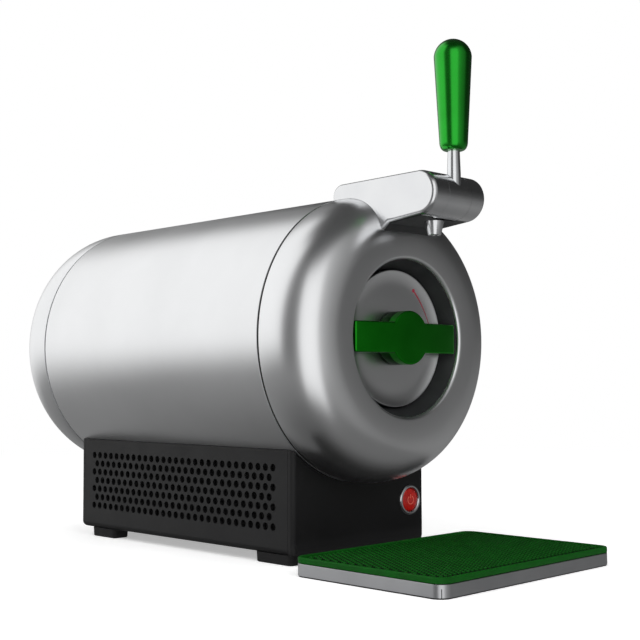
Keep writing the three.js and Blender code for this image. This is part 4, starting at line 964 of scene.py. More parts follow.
under_turn = np.linspace(0, np.pi / 2, 9)
base_heights = [*(BASE_LOW + UNDER_ROUND * (1 - np.cos(under_turn))), WALLS_TOP]
base_rings = [base_outline(d) for d in [*(UNDER_ROUND * (1 - np.sin(under_turn))), 0.0]]
print("base outline has", len(base_rings[0]), "points")

# %% [markdown]
# The barrel lies in the moulding, so the barrel's cylinder is cut from it. The moulding is hollow, open at
# both sides where the covers go, and has holes for the power button in front and for the mains inlet at the
# rear.

# %% Base housing
BASE_TOP = 103.0
BED_RADIUS = BARREL_RADIUS + FIT
BED_FROM, BED_TO = -30, 340
BUTTON = (61.8, BASE_FRONT, 44.0)
BUTTON_HOLE = 11.3
INLET = (-45.0, BASE_REAR, 36.0)
INLET_NECK = (15.0, 10.0)
HOLE_DEPTH = 6.0
SLOT_TOP, HOLLOW_TOP = BASE_TOP + 60, BASE_TOP + 90
PAST_SIDE = 100
CURL_EDGE = BASE_HALF - UNDER_ROUND

barrel_bed = turned(oblong(0, BED_RADIUS, BED_FROM, BED_TO), BARREL_SIDES, "y", BARREL)
button_hole = turned(oblong(0, BUTTON_HOLE, -HOLE_DEPTH, HOLE_DEPTH), 64, "y", BUTTON)
hole_x, hole_z = INLET_NECK[0] + FIT, INLET_NECK[1] + FIT
inlet_hole = brick((INLET[0] - hole_x, BASE_REAR - HOLE_DEPTH, INLET[2] - hole_z),
                   (INLET[0] + hole_x, BASE_REAR + HOLE_DEPTH, INLET[2] + hole_z))
side_slots = [brick((x0, BASE_FRONT + CORNER_RETURN, 0), (x1, BASE_REAR - CORNER_RETURN, SLOT_TOP))
              for x0, x1 in ((-PAST_SIDE, FIT - CURL_EDGE), (CURL_EDGE - FIT, PAST_SIDE))]
hollow_outline = oblong(-BASE_HALF + BASE_WALL, BASE_HALF - BASE_WALL, BASE_FRONT + BASE_WALL,
                        BASE_REAR - BASE_WALL)
hollow = slab(hollow_outline, BASE_LOW + BASE_WALL, HOLLOW_TOP, steps=1)
base_cuts = [hollow, *side_slots, barrel_bed, button_hole, inlet_hole]
dress("base_moulding", stacked(base_rings, base_heights), "cabinet", BLACK_ABS, ["base_housing"],
      cuts=base_cuts, flats=True)

# %% [markdown]
# The side covers are sheets with seven staggered rows of round vents. Cutting four hundred holes would be
# slow, so each vent is one cell: sixteen points of a circle joined to six points on the cell's edge, with
# the same six points in the rows above and below, so the cells close up without a gap.

# %% One vent
VENT_COLUMNS = 29
VENT_ROWS = 7
VENT_PITCH = 9.33
VENT_ROW_PITCH = 8.1
VENT_RADIUS = 3.2
VENT_SIDES = 16


def vent_cell(y, z):
    """One vent: 6 points of the cell's edge and 16 of the hole, joined by faces round it."""
    half_y, half_z = VENT_PITCH / 2, VENT_ROW_PITCH / 2
    edge = np.array([[half_y, half_z], [0, half_z], [-half_y, half_z], [-half_y, -half_z], [0, -half_z],
                     [half_y, -half_z]])
    turn = np.arange(VENT_SIDES) * 2 * np.pi / VENT_SIDES
    hole = VENT_RADIUS * np.column_stack([np.cos(turn), np.sin(turn)])
    joined = [0, 0, 0, 1, 1, 2, 2, 2, 3, 3, 3, 4, 4, 5, 5, 5]
    faces = []
    for i in range(VENT_SIDES):
        j = (i + 1) % VENT_SIDES
        corners = [len(edge) + i, joined[i], joined[j], len(edge) + j]
        faces.append(corners if joined[i] != joined[j] else [len(edge) + i, joined[i], len(edge) + j])
    return np.concatenate([edge, hole]) + [y, z], faces


print("a vent cell has", len(vent_cell(0, 0)[1]), "faces")

# %% [markdown]
# The sheet is the cells, the blank strips at their ends, a strip above, and a curl below that goes under
# the base as the moulding's edge does. Thickness is added last by a modifier, and the barrel's cylinder is
# cut from it.

# %% Perforated side covers
SIDES = (("left", -1), ("right", 1))
VENT_FIRST = BASE_FRONT + 24.1
VENT_LOW = 30.6
COVER_FRONT = BASE_FRONT + CORNER_RETURN + FIT
COVER_REAR = BASE_REAR - CORNER_RETURN - FIT
vent_lines = VENT_FIRST + VENT_PITCH * (np.arange(2 * VENT_COLUMNS + 1) - 1) / 2
row_edges = VENT_LOW + VENT_ROW_PITCH * (np.arange(VENT_ROWS + 1) - 0.5)


def cover_sheet(side):
    """The flat sheet with its vents, then the curl. A point of the curl at an angle a lies at
    x = half width - r (1 - cos a), z = base + r (1 - sin a)."""
    wall_x = side * BASE_HALF
    lines_y = np.concatenate([[COVER_FRONT], vent_lines, [COVER_REAR]])
    cells, blanks, strips = [], [], []
    for row, (z0, z1) in enumerate(zip(row_edges[:-1], row_edges[1:])):
        shifted = row % 2
        for column in range(VENT_COLUMNS - shifted):
            points, faces = vent_cell(VENT_FIRST + VENT_PITCH * (column + shifted / 2),
                                      VENT_LOW + VENT_ROW_PITCH * row)
            cells.append((np.column_stack([np.full(len(points), wall_x), points]), faces))
        for k in range(1 + shifted):
            for y0, y1 in ((lines_y[k], lines_y[k + 1]), (lines_y[-2 - k], lines_y[-1 - k])):
                corners = [[wall_x, y0, z0], [wall_x, y1, z0], [wall_x, y1, z1], [wall_x, y0, z1]]
                blanks.append((np.array(corners), [[0, 1, 2, 3]]))
    curl = np.linspace(0, np.pi / 2, 9)
    below = [(BASE_HALF, row_edges[0])]
    below += [(BASE_HALF - UNDER_ROUND * (1 - math.cos(a)), BASE_LOW + UNDER_ROUND * (1 - math.sin(a)))
              for a in curl]
    above = [(BASE_HALF, row_edges[-1]), (BASE_HALF, BASE_TOP)]
    for strip in (below, above):
        x, z = np.array(strip).T
        across, along = np.meshgrid(side * x, lines_y, indexing="ij")
        grid = np.stack([across, along, np.broadcast_to(z[:, None], along.shape)], axis=-1)
        strips.append((grid.reshape(-1, 3), grid_faces(*along.shape)))
    return merged(cells + blanks + strips)


def shape_of(made):
    """Points in millimetres and faces of an object, which is then removed."""
    points = np.empty(3 * len(made.data.vertices))
    made.data.vertices.foreach_get("co", points)
    faces = [list(face.vertices) for face in made.data.polygons]
    bpy.data.objects.remove(made)
    return points.reshape(-1, 3) / MM, faces


for name, side in SIDES:
    sheet = loose_object("side_cover_" + name, cover_sheet(side))
    outward = sum(face.normal.x * face.area for face in sheet.data.polygons)
    thick = sheet.modifiers.new("thickness", "SOLIDIFY")
    thick.thickness = BASE_WALL * MM
    thick.offset = -1.0 if outward * side > 0 else 1.0
    thick.use_even_offset = True
    finished_mesh(sheet)
    shaped(sheet, cuts=[barrel_bed])
    dress("side_cover_" + name, shape_of(sheet), "cabinet", BLACK_ABS, ["base_side_" + name],
          sharp=30, flats=True)

# %% [markdown]
# Behind each cover lies a sheet of black filter foam, as in most machines that draw air through a grille.
# It keeps dust out, and the eye too: without it one would look right through both covers.

# %% Filter sheets
FILTER_THICK = 1.5
FILTER_OUTER = BASE_HALF - BASE_WALL - FIT
FILTER_INNER = FILTER_OUTER - FILTER_THICK
FILTER_OVERLAP = (9, 8)
filter_outline = rounded(oblong(VENT_FIRST - FILTER_OVERLAP[0], VENT_FIRST + VENT_PITCH * VENT_COLUMNS,
                                VENT_LOW - FILTER_OVERLAP[1], VENT_LOW + VENT_ROW_PITCH * VENT_ROWS), 2.0, 4)
for name, side in SIDES:
    near, far = sorted((side * FILTER_INNER, side * FILTER_OUTER))
    dress("filter_sheet_" + name, slab(filter_outline, near, far, 0.2, 2, "yz"), "cabinet", FILTER_FOAM)

# %% [markdown]
# The feet are rubber blocks with rounded corners that taper slightly towards the counter. They are glued
# under the base, close to its sides. A rubber rail between the front feet keeps drips from running under
# the base, and it is a plain extrusion.

# %% Feet and front rail
FOOT_INSET, FOOT_WIDTH = 2.5, 18.0
FOOT_OUT = BASE_HALF - FOOT_INSET
FOOT_IN = FOOT_OUT - FOOT_WIDTH
FOOT_CORNER = 4.5
FEET = (("front", BASE_FRONT + 5.2, BASE_FRONT + 50.0), ("rear", BASE_REAR - 53.3, BASE_REAR - 14.8))
FOOT_LEVELS = [(0.0, 1.3), (0.35, 0.75), (0.9, 0.5), (BASE_LOW - 0.6, 0.0), (BASE_LOW, 0.0)]
for end, y0, y1 in FEET:
    for name, side in SIDES:
        x0, x1 = sorted((side * FOOT_IN, side * FOOT_OUT))
        outline = rounded(oblong(x0, x1, y0, y1), FOOT_CORNER, 6)
        dress(f"rubber_foot_{end}_{name}", terraced(outline, FOOT_LEVELS), "cabinet", BLACK_RUBBER,
              [f"foot_{end}_{name}"], flats=True)

RAIL_HALF = FOOT_IN - 0.6
RAIL = (BASE_FRONT + 5.6, BASE_FRONT + 12.6)
rail_outline = rounded(oblong(-RAIL_HALF, RAIL_HALF, *RAIL), 1.5, 4)
dress("front_rail", slab(rail_outline, 0.3, BASE_LOW, 0.2, 2, edge_low=0.6), "cabinet", BLACK_RUBBER,
      flats=True)

# %% [markdown]
# The power button is a tinted dome in a chromed ring. Its symbol is the plain one for power, a broken ring
# with a bar, moulded in a paler red and slightly raised. It is laid on the dome as the lock's print is on
# its disc.

# %% Button
RING_BORE, RING_SLEEVE, RING_OUTER = 10.2, 11.1, 13.5
RING_RISE = 1.6
RING_DEPTH = 9
bezel_profile = rounded([[RING_BORE, -RING_RISE], [RING_OUTER, -RING_RISE], [RING_OUTER, 0], [RING_SLEEVE, 0],
                         [RING_SLEEVE, RING_DEPTH], [RING_BORE, RING_DEPTH]],
                        [1.5, 1.5, 0.0, 0.0, 0.2, 0.2], 6)
dress("button_ring", turned(bezel_profile, 96, "y", BUTTON), "cabinet", CHROME, ["button_bezel"])

LENS_RADIUS = 9.8
LENS_RISE = 1.1
LENS_RIM = -0.4
LENS_DEPTH = 6.5


def lens_level(radius):
    """Distance of the lens's face along the axis: a paraboloid that falls from the middle to the rim."""
    return LENS_RIM - LENS_RISE * (1 - (radius / LENS_RADIUS) ** 2)


dome_radius = np.linspace(LENS_RADIUS - 0.5, 0, 14)
lens_profile = np.concatenate([[[0, LENS_DEPTH], [LENS_RADIUS, LENS_DEPTH], [LENS_RADIUS, -0.2]],
                               np.column_stack([dome_radius, lens_level(dome_radius)])])
dress("button_lens", turned(lens_profile, 72, "y", BUTTON), "button", RED_LENS, ["power_button"])

SYMBOL_INNER, SYMBOL_OUTER = 3.3, 4.1
SYMBOL_GAP = 70
BAR_HALF, BAR_LOW, BAR_HIGH = 0.4, 1.4, 5.0
symbol_turn = np.radians(np.linspace(90 + SYMBOL_GAP / 2, 450 - SYMBOL_GAP / 2, 41))
arc = np.column_stack([np.cos(symbol_turn), np.sin(symbol_turn)])
bar_up = np.linspace(BAR_LOW, BAR_HIGH, 6)
bar_sides = [np.column_stack([np.full(len(bar_up), x), bar_up]) for x in (-BAR_HALF, BAR_HALF)]
for name, inner, outer in (("ring", SYMBOL_INNER * arc, SYMBOL_OUTER * arc), ("bar", *bar_sides)):
    rows = np.stack([inner, (inner + outer) / 2, outer])
    dress("power_symbol_" + name, moved(film(rows, lens_level, 0.05), BUTTON), "button", PALE_INK)

# %% [markdown]
# The mains inlet sits low on the rear wall: a flanged socket with two round pins, as many small appliances
# have. The neck behind the flange is joined to it, and the cavity is cut from both.

# %% Inlet
INLET_FLANGE, INLET_CAVITY = (18, 13), (12, 6.5)
NECK_DEPTH, CAVITY_DEPTH = 20, 13.5
CONTACT_APART, CONTACT_RADIUS, CONTACT_TIP = 4.3, 1.2, 5.7


def centred(half, corner, steps):
    """Oblong with round corners round the middle, from half its width and half its height."""
    return rounded(oblong(-half[0], half[0], -half[1], half[1]), corner, steps)


flange = slab(centred(INLET_FLANGE, 3.5, 6), FIT, 1.5, 0.5, 3, "xz", edge_low=0.1)
neck = slab(centred(INLET_NECK, 2.5, 6), -NECK_DEPTH, 0.9, 0.2, 2, "xz")
cavity = slab(centred(INLET_CAVITY, 6.2, 10), -CAVITY_DEPTH, 9, 0.2, 2, "xz")
contact = rounded(oblong(0, CONTACT_RADIUS, -CAVITY_DEPTH - 1, -CONTACT_TIP), [0, 0, 0.6, 0], 4)
pin = turned(contact, 24, "y", INLET)
dress("mains_inlet", moved(flange, INLET), "cabinet", BLACK_INNER, ["power_inlet"],
      joins=[moved(neck, INLET)], cuts=[moved(cavity, INLET)], flats=True)
for name, side in SIDES:
    dress("inlet_pin_" + name, moved(pin, (side * CONTACT_APART, 0, 0)), "cabinet", STEEL)

# %% [markdown]
# ## The drip tray
# The tray is a black pan inside a band of brushed steel that is bent round it. The band's ends meet at the
# front left corner, where a fine slit stays. Both pieces share one outline, drawn in by a different
# distance for each wall.

# %% Tray
TRAY_HALF = 108.0
TRAY_FRONT = SEAM_Y - 174.7
TRAY_BACK = SEAM_Y - 25.1
TRAY_CORNER = 10
BAND_LOW, BAND_HIGH, BAND_THICK = 0.8, 10.2, 1.0
SLIT_HALF, SLIT_HIGH = 0.3, 7.2
PAST_LOW, PAST_HIGH = -5, 20


def tray_outline(drawn_in=0.0):
    """The tray's outline with its round corners, drawn in by a distance."""
    return rounded(oblong(-TRAY_HALF + drawn_in, TRAY_HALF - drawn_in, TRAY_FRONT + drawn_in,
                          TRAY_BACK - drawn_in), TRAY_CORNER - drawn_in, 16)


slit_middle = np.array([-TRAY_HALF + TRAY_CORNER, TRAY_FRONT + TRAY_CORNER])
along = np.array([-math.cos(math.pi / 4), -math.sin(math.pi / 4)])
across = np.array([along[1], -along[0]])
slit_outline = [slit_middle + a * along + b * across for a, b in oblong(4, 20, -SLIT_HALF, SLIT_HALF)]
dress("tray_band", slab(tray_outline(), BAND_LOW, BAND_HIGH, 0.3, 4), "tray", BRUSHED_STEEL, ["tray_skirt"],
      cuts=[slab(tray_outline(BAND_THICK), PAST_LOW, PAST_HIGH, steps=1),
                             slab(slit_outline, PAST_LOW, SLIT_HIGH, steps=1)], flats=True)

SOLE_IN, TUB_IN, BASIN_IN = 0.5, 1.3, 2.9
SOLE_HIGH, TUB_LOW, TUB_HIGH = 0.5, 0.2, 9.6
BASIN_LEVELS = [(2.0, 1.6), (2.12, 0.8), (2.47, 0.23), (3.6, 0.0), (PAST_HIGH, 0.0)]
basin = terraced(tray_outline(BASIN_IN), BASIN_LEVELS)
tub = slab(tray_outline(TUB_IN), TUB_LOW, TUB_HIGH, 0.4, 4, edge_low=0.1)
dress("tray_basin", slab(tray_outline(SOLE_IN), 0.0, SOLE_HIGH, 0.15, 3), "tray", BLACK_INNER, ["tray_pan"],
      joins=[tub], cuts=[basin], flats=True)

# %% [markdown]
# The green rubber mat has a raised rim and a field of small round nubs. Its rim and field are one terraced
# shape: up the outside, over the rim in two quarter circles, and down to the field.

# %% Mat
MAT_LOW = 10.5
MAT_FIELD = 12.4
MAT_TOP = 15.1
MAT_RIM = 3.0
RIM_ROUND = 1.1
bend = np.linspace(0, np.pi / 2, 6)
mat_levels = [(MAT_LOW, 0.5), (MAT_LOW + 0.15, 0.15), (MAT_LOW + 0.5, 0.0)]
mat_levels += [(MAT_TOP - RIM_ROUND * (1 - math.sin(a)), RIM_ROUND * (1 - math.cos(a))) for a in bend]
mat_levels += [(MAT_TOP - RIM_ROUND * (1 - math.cos(a)), MAT_RIM - RIM_ROUND * (1 - math.sin(a)))
               for a in bend]
mat_levels += [(MAT_FIELD + 0.4, MAT_RIM), (MAT_FIELD + 0.1, MAT_RIM + 0.12), (MAT_FIELD, MAT_RIM + 0.4)]
dress("rubber_mat", terraced(tray_outline(), mat_levels), "mat", SMOOTH_RUBBER, ["drip_mat"],
      sharp=50, flats=True)

# %% [markdown]
# Light hardly reaches down between the nubs, so their rubber is drawn darker towards the field. The colour
# follows the height, and otherwise the finish is made as the others are.

# %% Rubber of the nubs
NUB_TOP = MAT_FIELD + 2.5
NUB_DARK, NUB_LIGHT = 1.5, 0.2

NUB_RUBBER, tree, shader, place = new_finish("moulded_green_rubber_nubs")
patches, clouds, pits = (
    node(tree, "ShaderNodeTexNoise", {"Vector": place, "Scale": per_mm(size), "Detail": detail}, "Fac")
    for size, detail in ((9, 2), (3, 3), (0.6, 3)))
height = node(tree, "ShaderNodeSeparateXYZ", {0: place}, "Z")
up_share = node(tree, "ShaderNodeMapRange",
                spans(height, (NUB_TOP - NUB_DARK) * MM, (NUB_TOP - NUB_LIGHT) * MM))
green = two_shades(tree, patches, "#064a0a", "#09580e")
shaded = node(tree, "ShaderNodeMix", {0: up_share, 6: linear("#021203"), 7: green}, 2, data_type="RGBA")
plug(shader, {
    "Base Color": shaded,
    "Roughness": node(tree, "ShaderNodeMapRange", {"Value": clouds, "To Min": 0.55, "To Max": 0.7}),
    "Normal": node(tree, "ShaderNodeBump", {"Height": pits, "Distance": 0.02 * MM, "Strength": 1.0}),
    "Specular IOR Level": 0.15})
print("the nubs' rubber is full green from", NUB_TOP - NUB_LIGHT, "mm up")

# %% [markdown]
# The nubs repeat more than a thousand times in staggered rows. So each has only eight sides, a slight taper
# and one bevel round its top, and all of them go into one mesh.

# %% Nubs
NUB_PITCH = 5.0
NUB_ROW_PITCH = 0.87 * NUB_PITCH
NUB_RADIUS = 1.45
NUB_SIDES = 8
NUB_CLEAR = 3.2
NUB_CORNER = 3.0
reach_x = TRAY_HALF - MAT_RIM - NUB_CLEAR
reach_y = (TRAY_BACK - TRAY_FRONT) / 2 - MAT_RIM - NUB_CLEAR
columns = int(reach_x // NUB_PITCH)
rows = int(reach_y // NUB_ROW_PITCH)
nub_y, nub_x = np.meshgrid(np.arange(-rows, rows + 1), np.arange(-columns, columns + 1), indexing="ij")
place_x = NUB_PITCH * (nub_x + (nub_y % 2) / 2)
place_y = NUB_ROW_PITCH * nub_y
in_corner = (np.abs(place_x) > reach_x - NUB_CORNER) & (np.abs(place_y) > reach_y - NUB_CORNER)
keep = (np.abs(place_x) <= reach_x) & ~in_corner
places = np.column_stack([place_x[keep], place_y[keep] + (TRAY_FRONT + TRAY_BACK) / 2, np.zeros(keep.sum())])

nub_radii = np.array([NUB_RADIUS + 0.15, NUB_RADIUS - 0.1, NUB_RADIUS * 0.55])
nub_heights = np.array([MAT_FIELD - 0.3, NUB_TOP - 0.6, NUB_TOP])
turn = np.arange(NUB_SIDES) * 2 * np.pi / NUB_SIDES
nub_rings = [radius * np.column_stack([np.cos(turn), np.sin(turn)]) for radius in nub_radii]
one_nub = stacked(nub_rings, nub_heights)
dress("mat_nubs", merged([moved(one_nub, place) for place in places]), "mat", NUB_RUBBER, ["drip_mat"],
      sharp=50)
print(len(places), "nubs")

# %% [markdown]
# ## Pieces kept from the frame
# Inside the door and the base are pieces that are already whole in the frame: the foam, the bolt and its
# guide, the spindle, the cooling stack, the fan and the boards. They keep their shapes and get the
# materials of the real parts.

# %% Materials on the frame's own solids
KEPT = {
    "insulation_sleeve": FOAM, "door_foam": FOAM, "bolt_guide": GREY_ABS, "lock_spindle": STEEL,
    "scroll_disc": GREY_ABS, "latch_bolt": STEEL, "spindle_bush": BLACK_INNER, "lever_pin": STEEL,
    "button_switch": BLACK_INNER, "cold_block": ALUMINIUM, "peltier_module": CERAMIC, "heat_sink": ALUMINIUM,
    "fan_frame": BLACK_INNER, "fan_impeller": BLACK_INNER, "control_board": CIRCUIT_BOARD,
    "power_supply": GREY_ABS,
}
for name, finish in KEPT.items():
    mesh = nodes[name].data
    mesh.materials.clear()
    mesh.materials.append(finish)
shown = sorted(name for name, made in nodes.items() if not made.hide_render)
print("kept from the frame:", ", ".join(shown))

# %% [markdown]
# ## Camera
# The photograph was taken from the front left, 15 cm above the counter, with a long lens that is turned
# slightly upwards. Its place and angles were worked out from the seams, the lip, the disc and the edges of
# base and tray. The lens's middle isn't the picture's, as in a picture that was cropped, and the lens shift
# takes that up.

# %% Camera
VIEW_PLACE = (-0.7255, -0.7863, 0.1492)
VIEW_TURN = math.radians(-45.36)
VIEW_PITCH = math.radians(3.3945)
VIEW_ROLL = math.radians(-0.2614)
PICTURE = 640.0
SENSOR = 36.0
FOCAL_PIXELS = 1158.28
PRINCIPAL = (340.13, 313.66)

forward = np.array([-math.sin(VIEW_TURN) * math.cos(VIEW_PITCH), math.cos(VIEW_TURN) * math.cos(VIEW_PITCH),
                    math.sin(VIEW_PITCH)])
level_right = np.array([math.cos(VIEW_TURN), math.sin(VIEW_TURN), 0.0])
level_up = np.cross(level_right, forward)
right = level_right * math.cos(VIEW_ROLL) + level_up * math.sin(VIEW_ROLL)
up = -level_right * math.sin(VIEW_ROLL) + level_up * math.cos(VIEW_ROLL)


def posed(axes, place):
    """Matrix whose columns are three axes and a place."""
    pose = Matrix(np.column_stack(axes).tolist()).to_4x4()
    pose.translation = place
    return pose


lens = bpy.data.cameras.new("view")
lens.sensor_width = SENSOR
lens.lens = FOCAL_PIXELS * SENSOR / PICTURE
lens.shift_x = (PICTURE / 2 - PRINCIPAL[0]) / PICTURE
lens.shift_y = (PRINCIPAL[1] - PICTURE / 2) / PICTURE
camera = bpy.data.objects.new("view", lens)
camera.matrix_world = posed((right, up, -forward), VIEW_PLACE)
bpy.context.scene.collection.objects.link(camera)
bpy.context.scene.camera = camera
print("camera", [round(v, 3) for v in camera.location], f"lens {lens.lens:.1f} mm")

# %% [markdown]
# ## Studio
# The photograph was taken in a white studio with dark panels round the object. The world is white to the
# eye and in mirrors, and gives only half of that as light, so pale surfaces don't burn out. The view
# transform is Standard, which shows a colour as it is written.

# %% World
WHITE = (1.0, 1.0, 1.0, 1.0)
LIGHT_OF_SKY = 0.5
SMOOTH = {"interpolation_type": "SMOOTHSTEP"}


def seen_share(tree):
    """1 for rays from the camera, a mirror or a clear piece, and 0 for the rays that gather light."""
    path = node(tree, "ShaderNodeLightPath").node.outputs
    sight = path["Is Camera Ray"]
    for ray in ("Is Glossy Ray", "Is Transmission Ray"):
        sight = node(tree, "ShaderNodeMath", {0: sight, 1: path[ray]}, operation="MAXIMUM")
    return sight


def sky_strength(tree):
    """Full strength to the eye, and the sky's light elsewhere."""
    return node(tree, "ShaderNodeMapRange", spans(seen_share(tree), 0.0, 1.0, LIGHT_OF_SKY, 1.0), **SMOOTH)


scene = bpy.context.scene
scene.view_settings.view_transform = "Standard"
world = bpy.data.worlds.new("white_studio")
scene.world = world
world.use_nodes = True
tree = world.node_tree
plug(tree.nodes["Background"], {"Color": WHITE, "Strength": sky_strength(tree)})
print("the world gives", LIGHT_OF_SKY, "of its white as light")

# %% [markdown]
# The counter is a pale matt sheet. It keeps the object's shadow near the object, and farther out it turns
# into the white of the world, so no horizon shows. A little glow lifts it to the photograph's white, for
# the eye only.

# %% Counter
FLOOR_REACH = 6000.0
FLOOR_GLOW = 0.4
FLOOR_FADE = (0.7, 1.6)
FLOOR_PATCH = 120
floor_finish, tree, shader, place = new_finish("pale_matt_counter")
patches = node(tree, "ShaderNodeTexNoise", {"Vector": place, "Scale": per_mm(FLOOR_PATCH), "Detail": 2},
               "Fac")
glow = node(tree, "ShaderNodeMath", {0: seen_share(tree), 1: FLOOR_GLOW}, operation="MULTIPLY")
plug(shader, {"Base Color": two_shades(tree, patches, "#f2f2f2", "#f8f8f8"), "Roughness": 0.9,
              "Specular IOR Level": 0.1, "Emission Color": WHITE, "Emission Strength": glow})
away = node(tree, "ShaderNodeVectorMath", {0: place}, "Value", operation="LENGTH")
far_share = node(tree, "ShaderNodeMapRange", spans(away, *FLOOR_FADE), **SMOOTH)
white = node(tree, "ShaderNodeEmission", {"Color": WHITE, "Strength": sky_strength(tree)})
mixed = node(tree, "ShaderNodeMixShader", {0: far_share, 1: shader.outputs[0], 2: white})
plug(tree.nodes["Material Output"], {"Surface": mixed})
floor = loose_object("counter", slab(oblong(-FLOOR_REACH, FLOOR_REACH, -FLOOR_REACH, FLOOR_REACH), -5, -0.15,
                                     steps=1))
floor.data.materials.append(floor_finish)
floor.visible_glossy = False
floor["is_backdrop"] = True
print("counter of", 2 * FLOOR_REACH * MM, "m")

# %% [markdown]
# The metal shows the studio's panels: broad white bands where it mirrors the open white, and greys where it
# mirrors a panel. The panels here are one tent that only mirrors see. It neither lights the object nor
# shades it. Its material is clear where the studio was open and grey elsewhere. Separate cards would leave
# hard edges in the satin lacquer, and the tent's soft ones don't.

# %% Tent and its directions
TENT_RADIUS = 3000.0
tent_turn = np.linspace(-np.pi / 2, np.pi / 2, 25)
tent_profile = TENT_RADIUS * np.column_stack([np.cos(tent_turn), np.sin(tent_turn)])
tent_profile[0, 0] = tent_profile[-1, 0] = 0.0
tent = loose_object("tent_of_panels", turned(tent_profile, 48, "z"))
tent.location = (0.0, 0.0, AXIS_Z * MM)
tent.data.shade_smooth()


def panel_finish(name):
    """Material that still lacks a shader: itself, its tree and the object coordinates."""
    made, tree, shader, place = new_finish(name)
    tree.nodes.remove(shader)
    return made, tree, place


tent_finish, tree, place = panel_finish("grey_studio_panels")
unit = node(tree, "ShaderNodeVectorMath", {0: place}, "Vector", operation="NORMALIZE")
part_of = node(tree, "ShaderNodeSeparateXYZ", {0: unit}).node.outputs
turned_by = node(tree, "ShaderNodeMath", {0: part_of["Y"], 1: part_of["X"]}, operation="ARCTAN2")
raised_by = node(tree, "ShaderNodeMath", {0: part_of["Z"]}, operation="ARCSINE")
heading, elevation = (node(tree, "ShaderNodeMath", {0: angle, 1: 180 / math.pi}, operation="MULTIPLY")
                      for angle in (turned_by, raised_by))
heading = node(tree, "ShaderNodeMath", {0: heading, 1: 360.0}, operation="FLOORED_MODULO")
print("tent of", TENT_RADIUS * MM, "m")

# %% [markdown]
# The tent's grey follows the heading, which is the turn round the upright axis, and the elevation. Heading
# 0 is the object's right and 90 is its rear. One opening stands behind the object and to its left, the
# other in front on the left, beside the camera. They give the barrel its wide bright band and the dome its
# bright edge. An opening's edge is soft, and is given in degrees as where it starts and where it ends.

# %% Openings
OPENINGS = (
    {"heading": ((64, 88), (163, 176)), "elevation": ((-20, 2), (58, 76))},
    {"heading": ((204, 213), (250, 259)), "elevation": ((-46, -26), (38, 52))},
)
clear = 0.0
for opening in OPENINGS:
    share = 1.0
    for angle, edges in ((heading, opening["heading"]), (elevation, opening["elevation"])):
        for (low, high), ends in zip(edges, ((0.0, 1.0), (1.0, 0.0))):
            step = node(tree, "ShaderNodeMapRange", spans(angle, low, high, *ends), **SMOOTH)
            share = node(tree, "ShaderNodeMath", {0: share, 1: step}, operation="MULTIPLY")
    clear = node(tree, "ShaderNodeMath", {0: clear, 1: share}, operation="MAXIMUM")
print(len(OPENINGS), "openings")

# %% [markdown]
# The panels' grey is a table round the tent. On the right it follows the elevation instead: what the dome
# mirrors there is paler low down and darkens upwards. Below and above the panels lie the studio's ground
# and its dark ceiling.

# %% Greys of the panels
PANEL_GREYS = ((0, 0.065), (45, 0.1), (56, 0.22), (170, 0.2), (185, 0.13), (202, 0.14), (262, 0.45),
               (285, 0.27), (308, 0.22), (322, 0.09), (360, 0.065))
RIGHT_GREYS = ((-30, 0.17), (-6, 0.17), (2.5, 0.105), (9, 0.065), (25, 0.03), (60, 0.03))
RIGHT_FROM, RIGHT_TO = (292, 312), (40, 60)
GROUND_EDGE, GROUND_SPAN, GROUND_GREYS = (-26, -6), (-62, -20), (0.1, 0.23)
CEILING_EDGE, CEILING_GREY = (46, 62), 0.06


def graded(value, table):
    """Grey that follows a value through a table of (value, grey)."""
    low, high = table[0][0], table[-1][0]
    share = node(tree, "ShaderNodeMapRange", spans(value, low, high))
    grey_of = node(tree, "ShaderNodeValToRGB", {0: share})
    stops = grey_of.node.color_ramp.elements
    while len(stops) < len(table):
        stops.new(0.5)
    for stop, (at, grey) in zip(stops, table):
        stop.position = (at - low) / (high - low)
        stop.color = (grey, grey, grey, 1.0)
    return grey_of


on_right = node(tree, "ShaderNodeMath", {
    0: node(tree, "ShaderNodeMapRange", spans(heading, *RIGHT_FROM), **SMOOTH),
    1: node(tree, "ShaderNodeMapRange", spans(heading, *RIGHT_TO, 1.0, 0.0), **SMOOTH)}, operation="MAXIMUM")
below = node(tree, "ShaderNodeMapRange", spans(elevation, *GROUND_EDGE, 1.0, 0.0), **SMOOTH)
above = node(tree, "ShaderNodeMapRange", spans(elevation, *CEILING_EDGE), **SMOOTH)
ground = node(tree, "ShaderNodeMapRange", spans(elevation, *GROUND_SPAN, *GROUND_GREYS), **SMOOTH)
level = graded(heading, PANEL_GREYS)
for share, grey in ((on_right, graded(elevation, RIGHT_GREYS)), (below, ground), (above, CEILING_GREY)):
    level = node(tree, "ShaderNodeMix", {0: share, 2: level, 3: grey}, data_type="FLOAT")


def mirrors_only(piece, finish, level, clear):
    """Gives a piece a glow of a level, open where clear is 1, and hides it from all rays but a mirror's."""
    tree = finish.node_tree
    glow = node(tree, "ShaderNodeEmission", {"Color": WHITE, "Strength": level})
    both = node(tree, "ShaderNodeMixShader", {0: clear, 1: glow, 2: node(tree, "ShaderNodeBsdfTransparent")})
    plug(tree.nodes["Material Output"], {"Surface": both})
    piece.data.materials.append(finish)
    for ray in ("camera", "diffuse", "transmission", "volume_scatter", "shadow"):
        setattr(piece, "visible_" + ray, False)


mirrors_only(tent, tent_finish, level, clear)
tent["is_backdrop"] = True
print("the tent has", len(PANEL_GREYS) + len(RIGHT_GREYS), "greys")
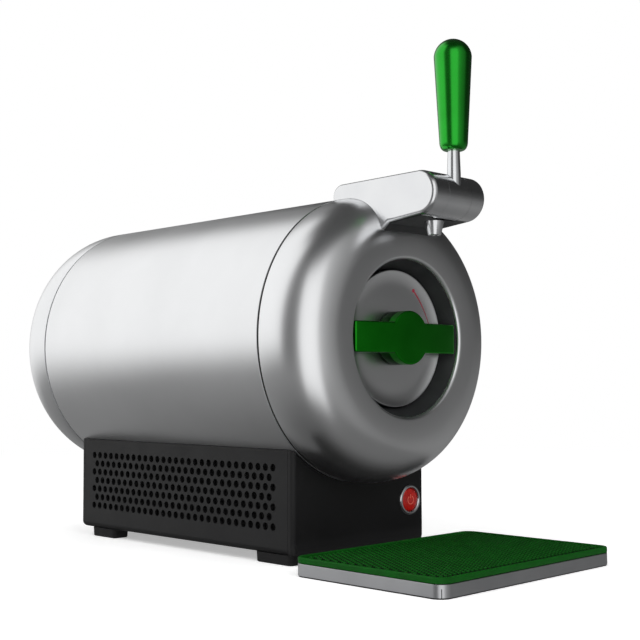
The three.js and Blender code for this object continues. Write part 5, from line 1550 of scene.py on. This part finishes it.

# %% [markdown]
# The photographer's tray was set in front afterwards: the dome doesn't mirror it. A sheet that only mirrors
# see lies just over the tray. It is grey, and darker towards the base as painted shade of the base's front in
# the dome's reflection, and from below it is clear.

# %% Mirror card over the tray
CARD_X = (-122.0, 150.0)
CARD_Y = (SEAM_Y - 240, SEAM_Y)
CARD_Z = 17.0
CARD_FADE = (SEAM_Y - 100, SEAM_Y - 22)
# The grey falls towards the base: painted shade in what the dome mirrors.
CARD_GREYS = (0.14, 0.015)
card_points = [[x, y, CARD_Z] for x in CARD_X for y in CARD_Y]
card = loose_object("mirror_card", (card_points, [[0, 2, 3, 1]]))
card_finish, tree, place = panel_finish("grey_mirror_card")
ahead = node(tree, "ShaderNodeSeparateXYZ", {0: place}, "Y")
card_level = node(tree, "ShaderNodeMapRange", spans(ahead, CARD_FADE[0] * MM, CARD_FADE[1] * MM, *CARD_GREYS),
                  **SMOOTH)
under = node(tree, "ShaderNodeNewGeometry", output="Backfacing")
mirrors_only(card, card_finish, card_level, under)
card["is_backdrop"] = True
print("mirror card", CARD_X[1] - CARD_X[0], "mm wide")

# %% [markdown]
# The lamps are three soft boxes that mirrors don't see. The key stands high on the left, so the base's side
# is lighter than its front, and the others only keep the shadows open.

# %% Lamps
LAMPS = (("key_lamp", (-1.7, 0.5, 1.9), 1.4, 21.0), ("front_lamp", (-0.6, -2.2, 1.5), 1.2, 20.0),
         ("right_lamp", (1.9, -0.6, 1.5), 1.2, 10.0))
LAMP_AIM = np.array([0.0, 0.0, 0.15])
for name, place, size, power in LAMPS:
    lamp = bpy.data.lights.new(name, "AREA")
    lamp.shape = "SQUARE"
    lamp.size = size
    lamp.energy = power
    made = bpy.data.objects.new(name, lamp)
    back = np.array(place) - LAMP_AIM
    back /= np.linalg.norm(back)
    side = np.cross([0.0, 0.0, 1.0], back)
    side /= np.linalg.norm(side)
    made.matrix_world = posed((side, np.cross(back, side), back), place)
    made.visible_camera = False
    made.visible_glossy = False
    scene.collection.objects.link(made)
    made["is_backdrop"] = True
print(len(LAMPS), "lamps")

# %% [markdown]
# ## Size
# The dressed object must keep the frame's size. Its box is written down.

# %% Sizes
low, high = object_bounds()
print("the dressed object's box in metres:", [round(v, 4) for v in (*low, *high)])
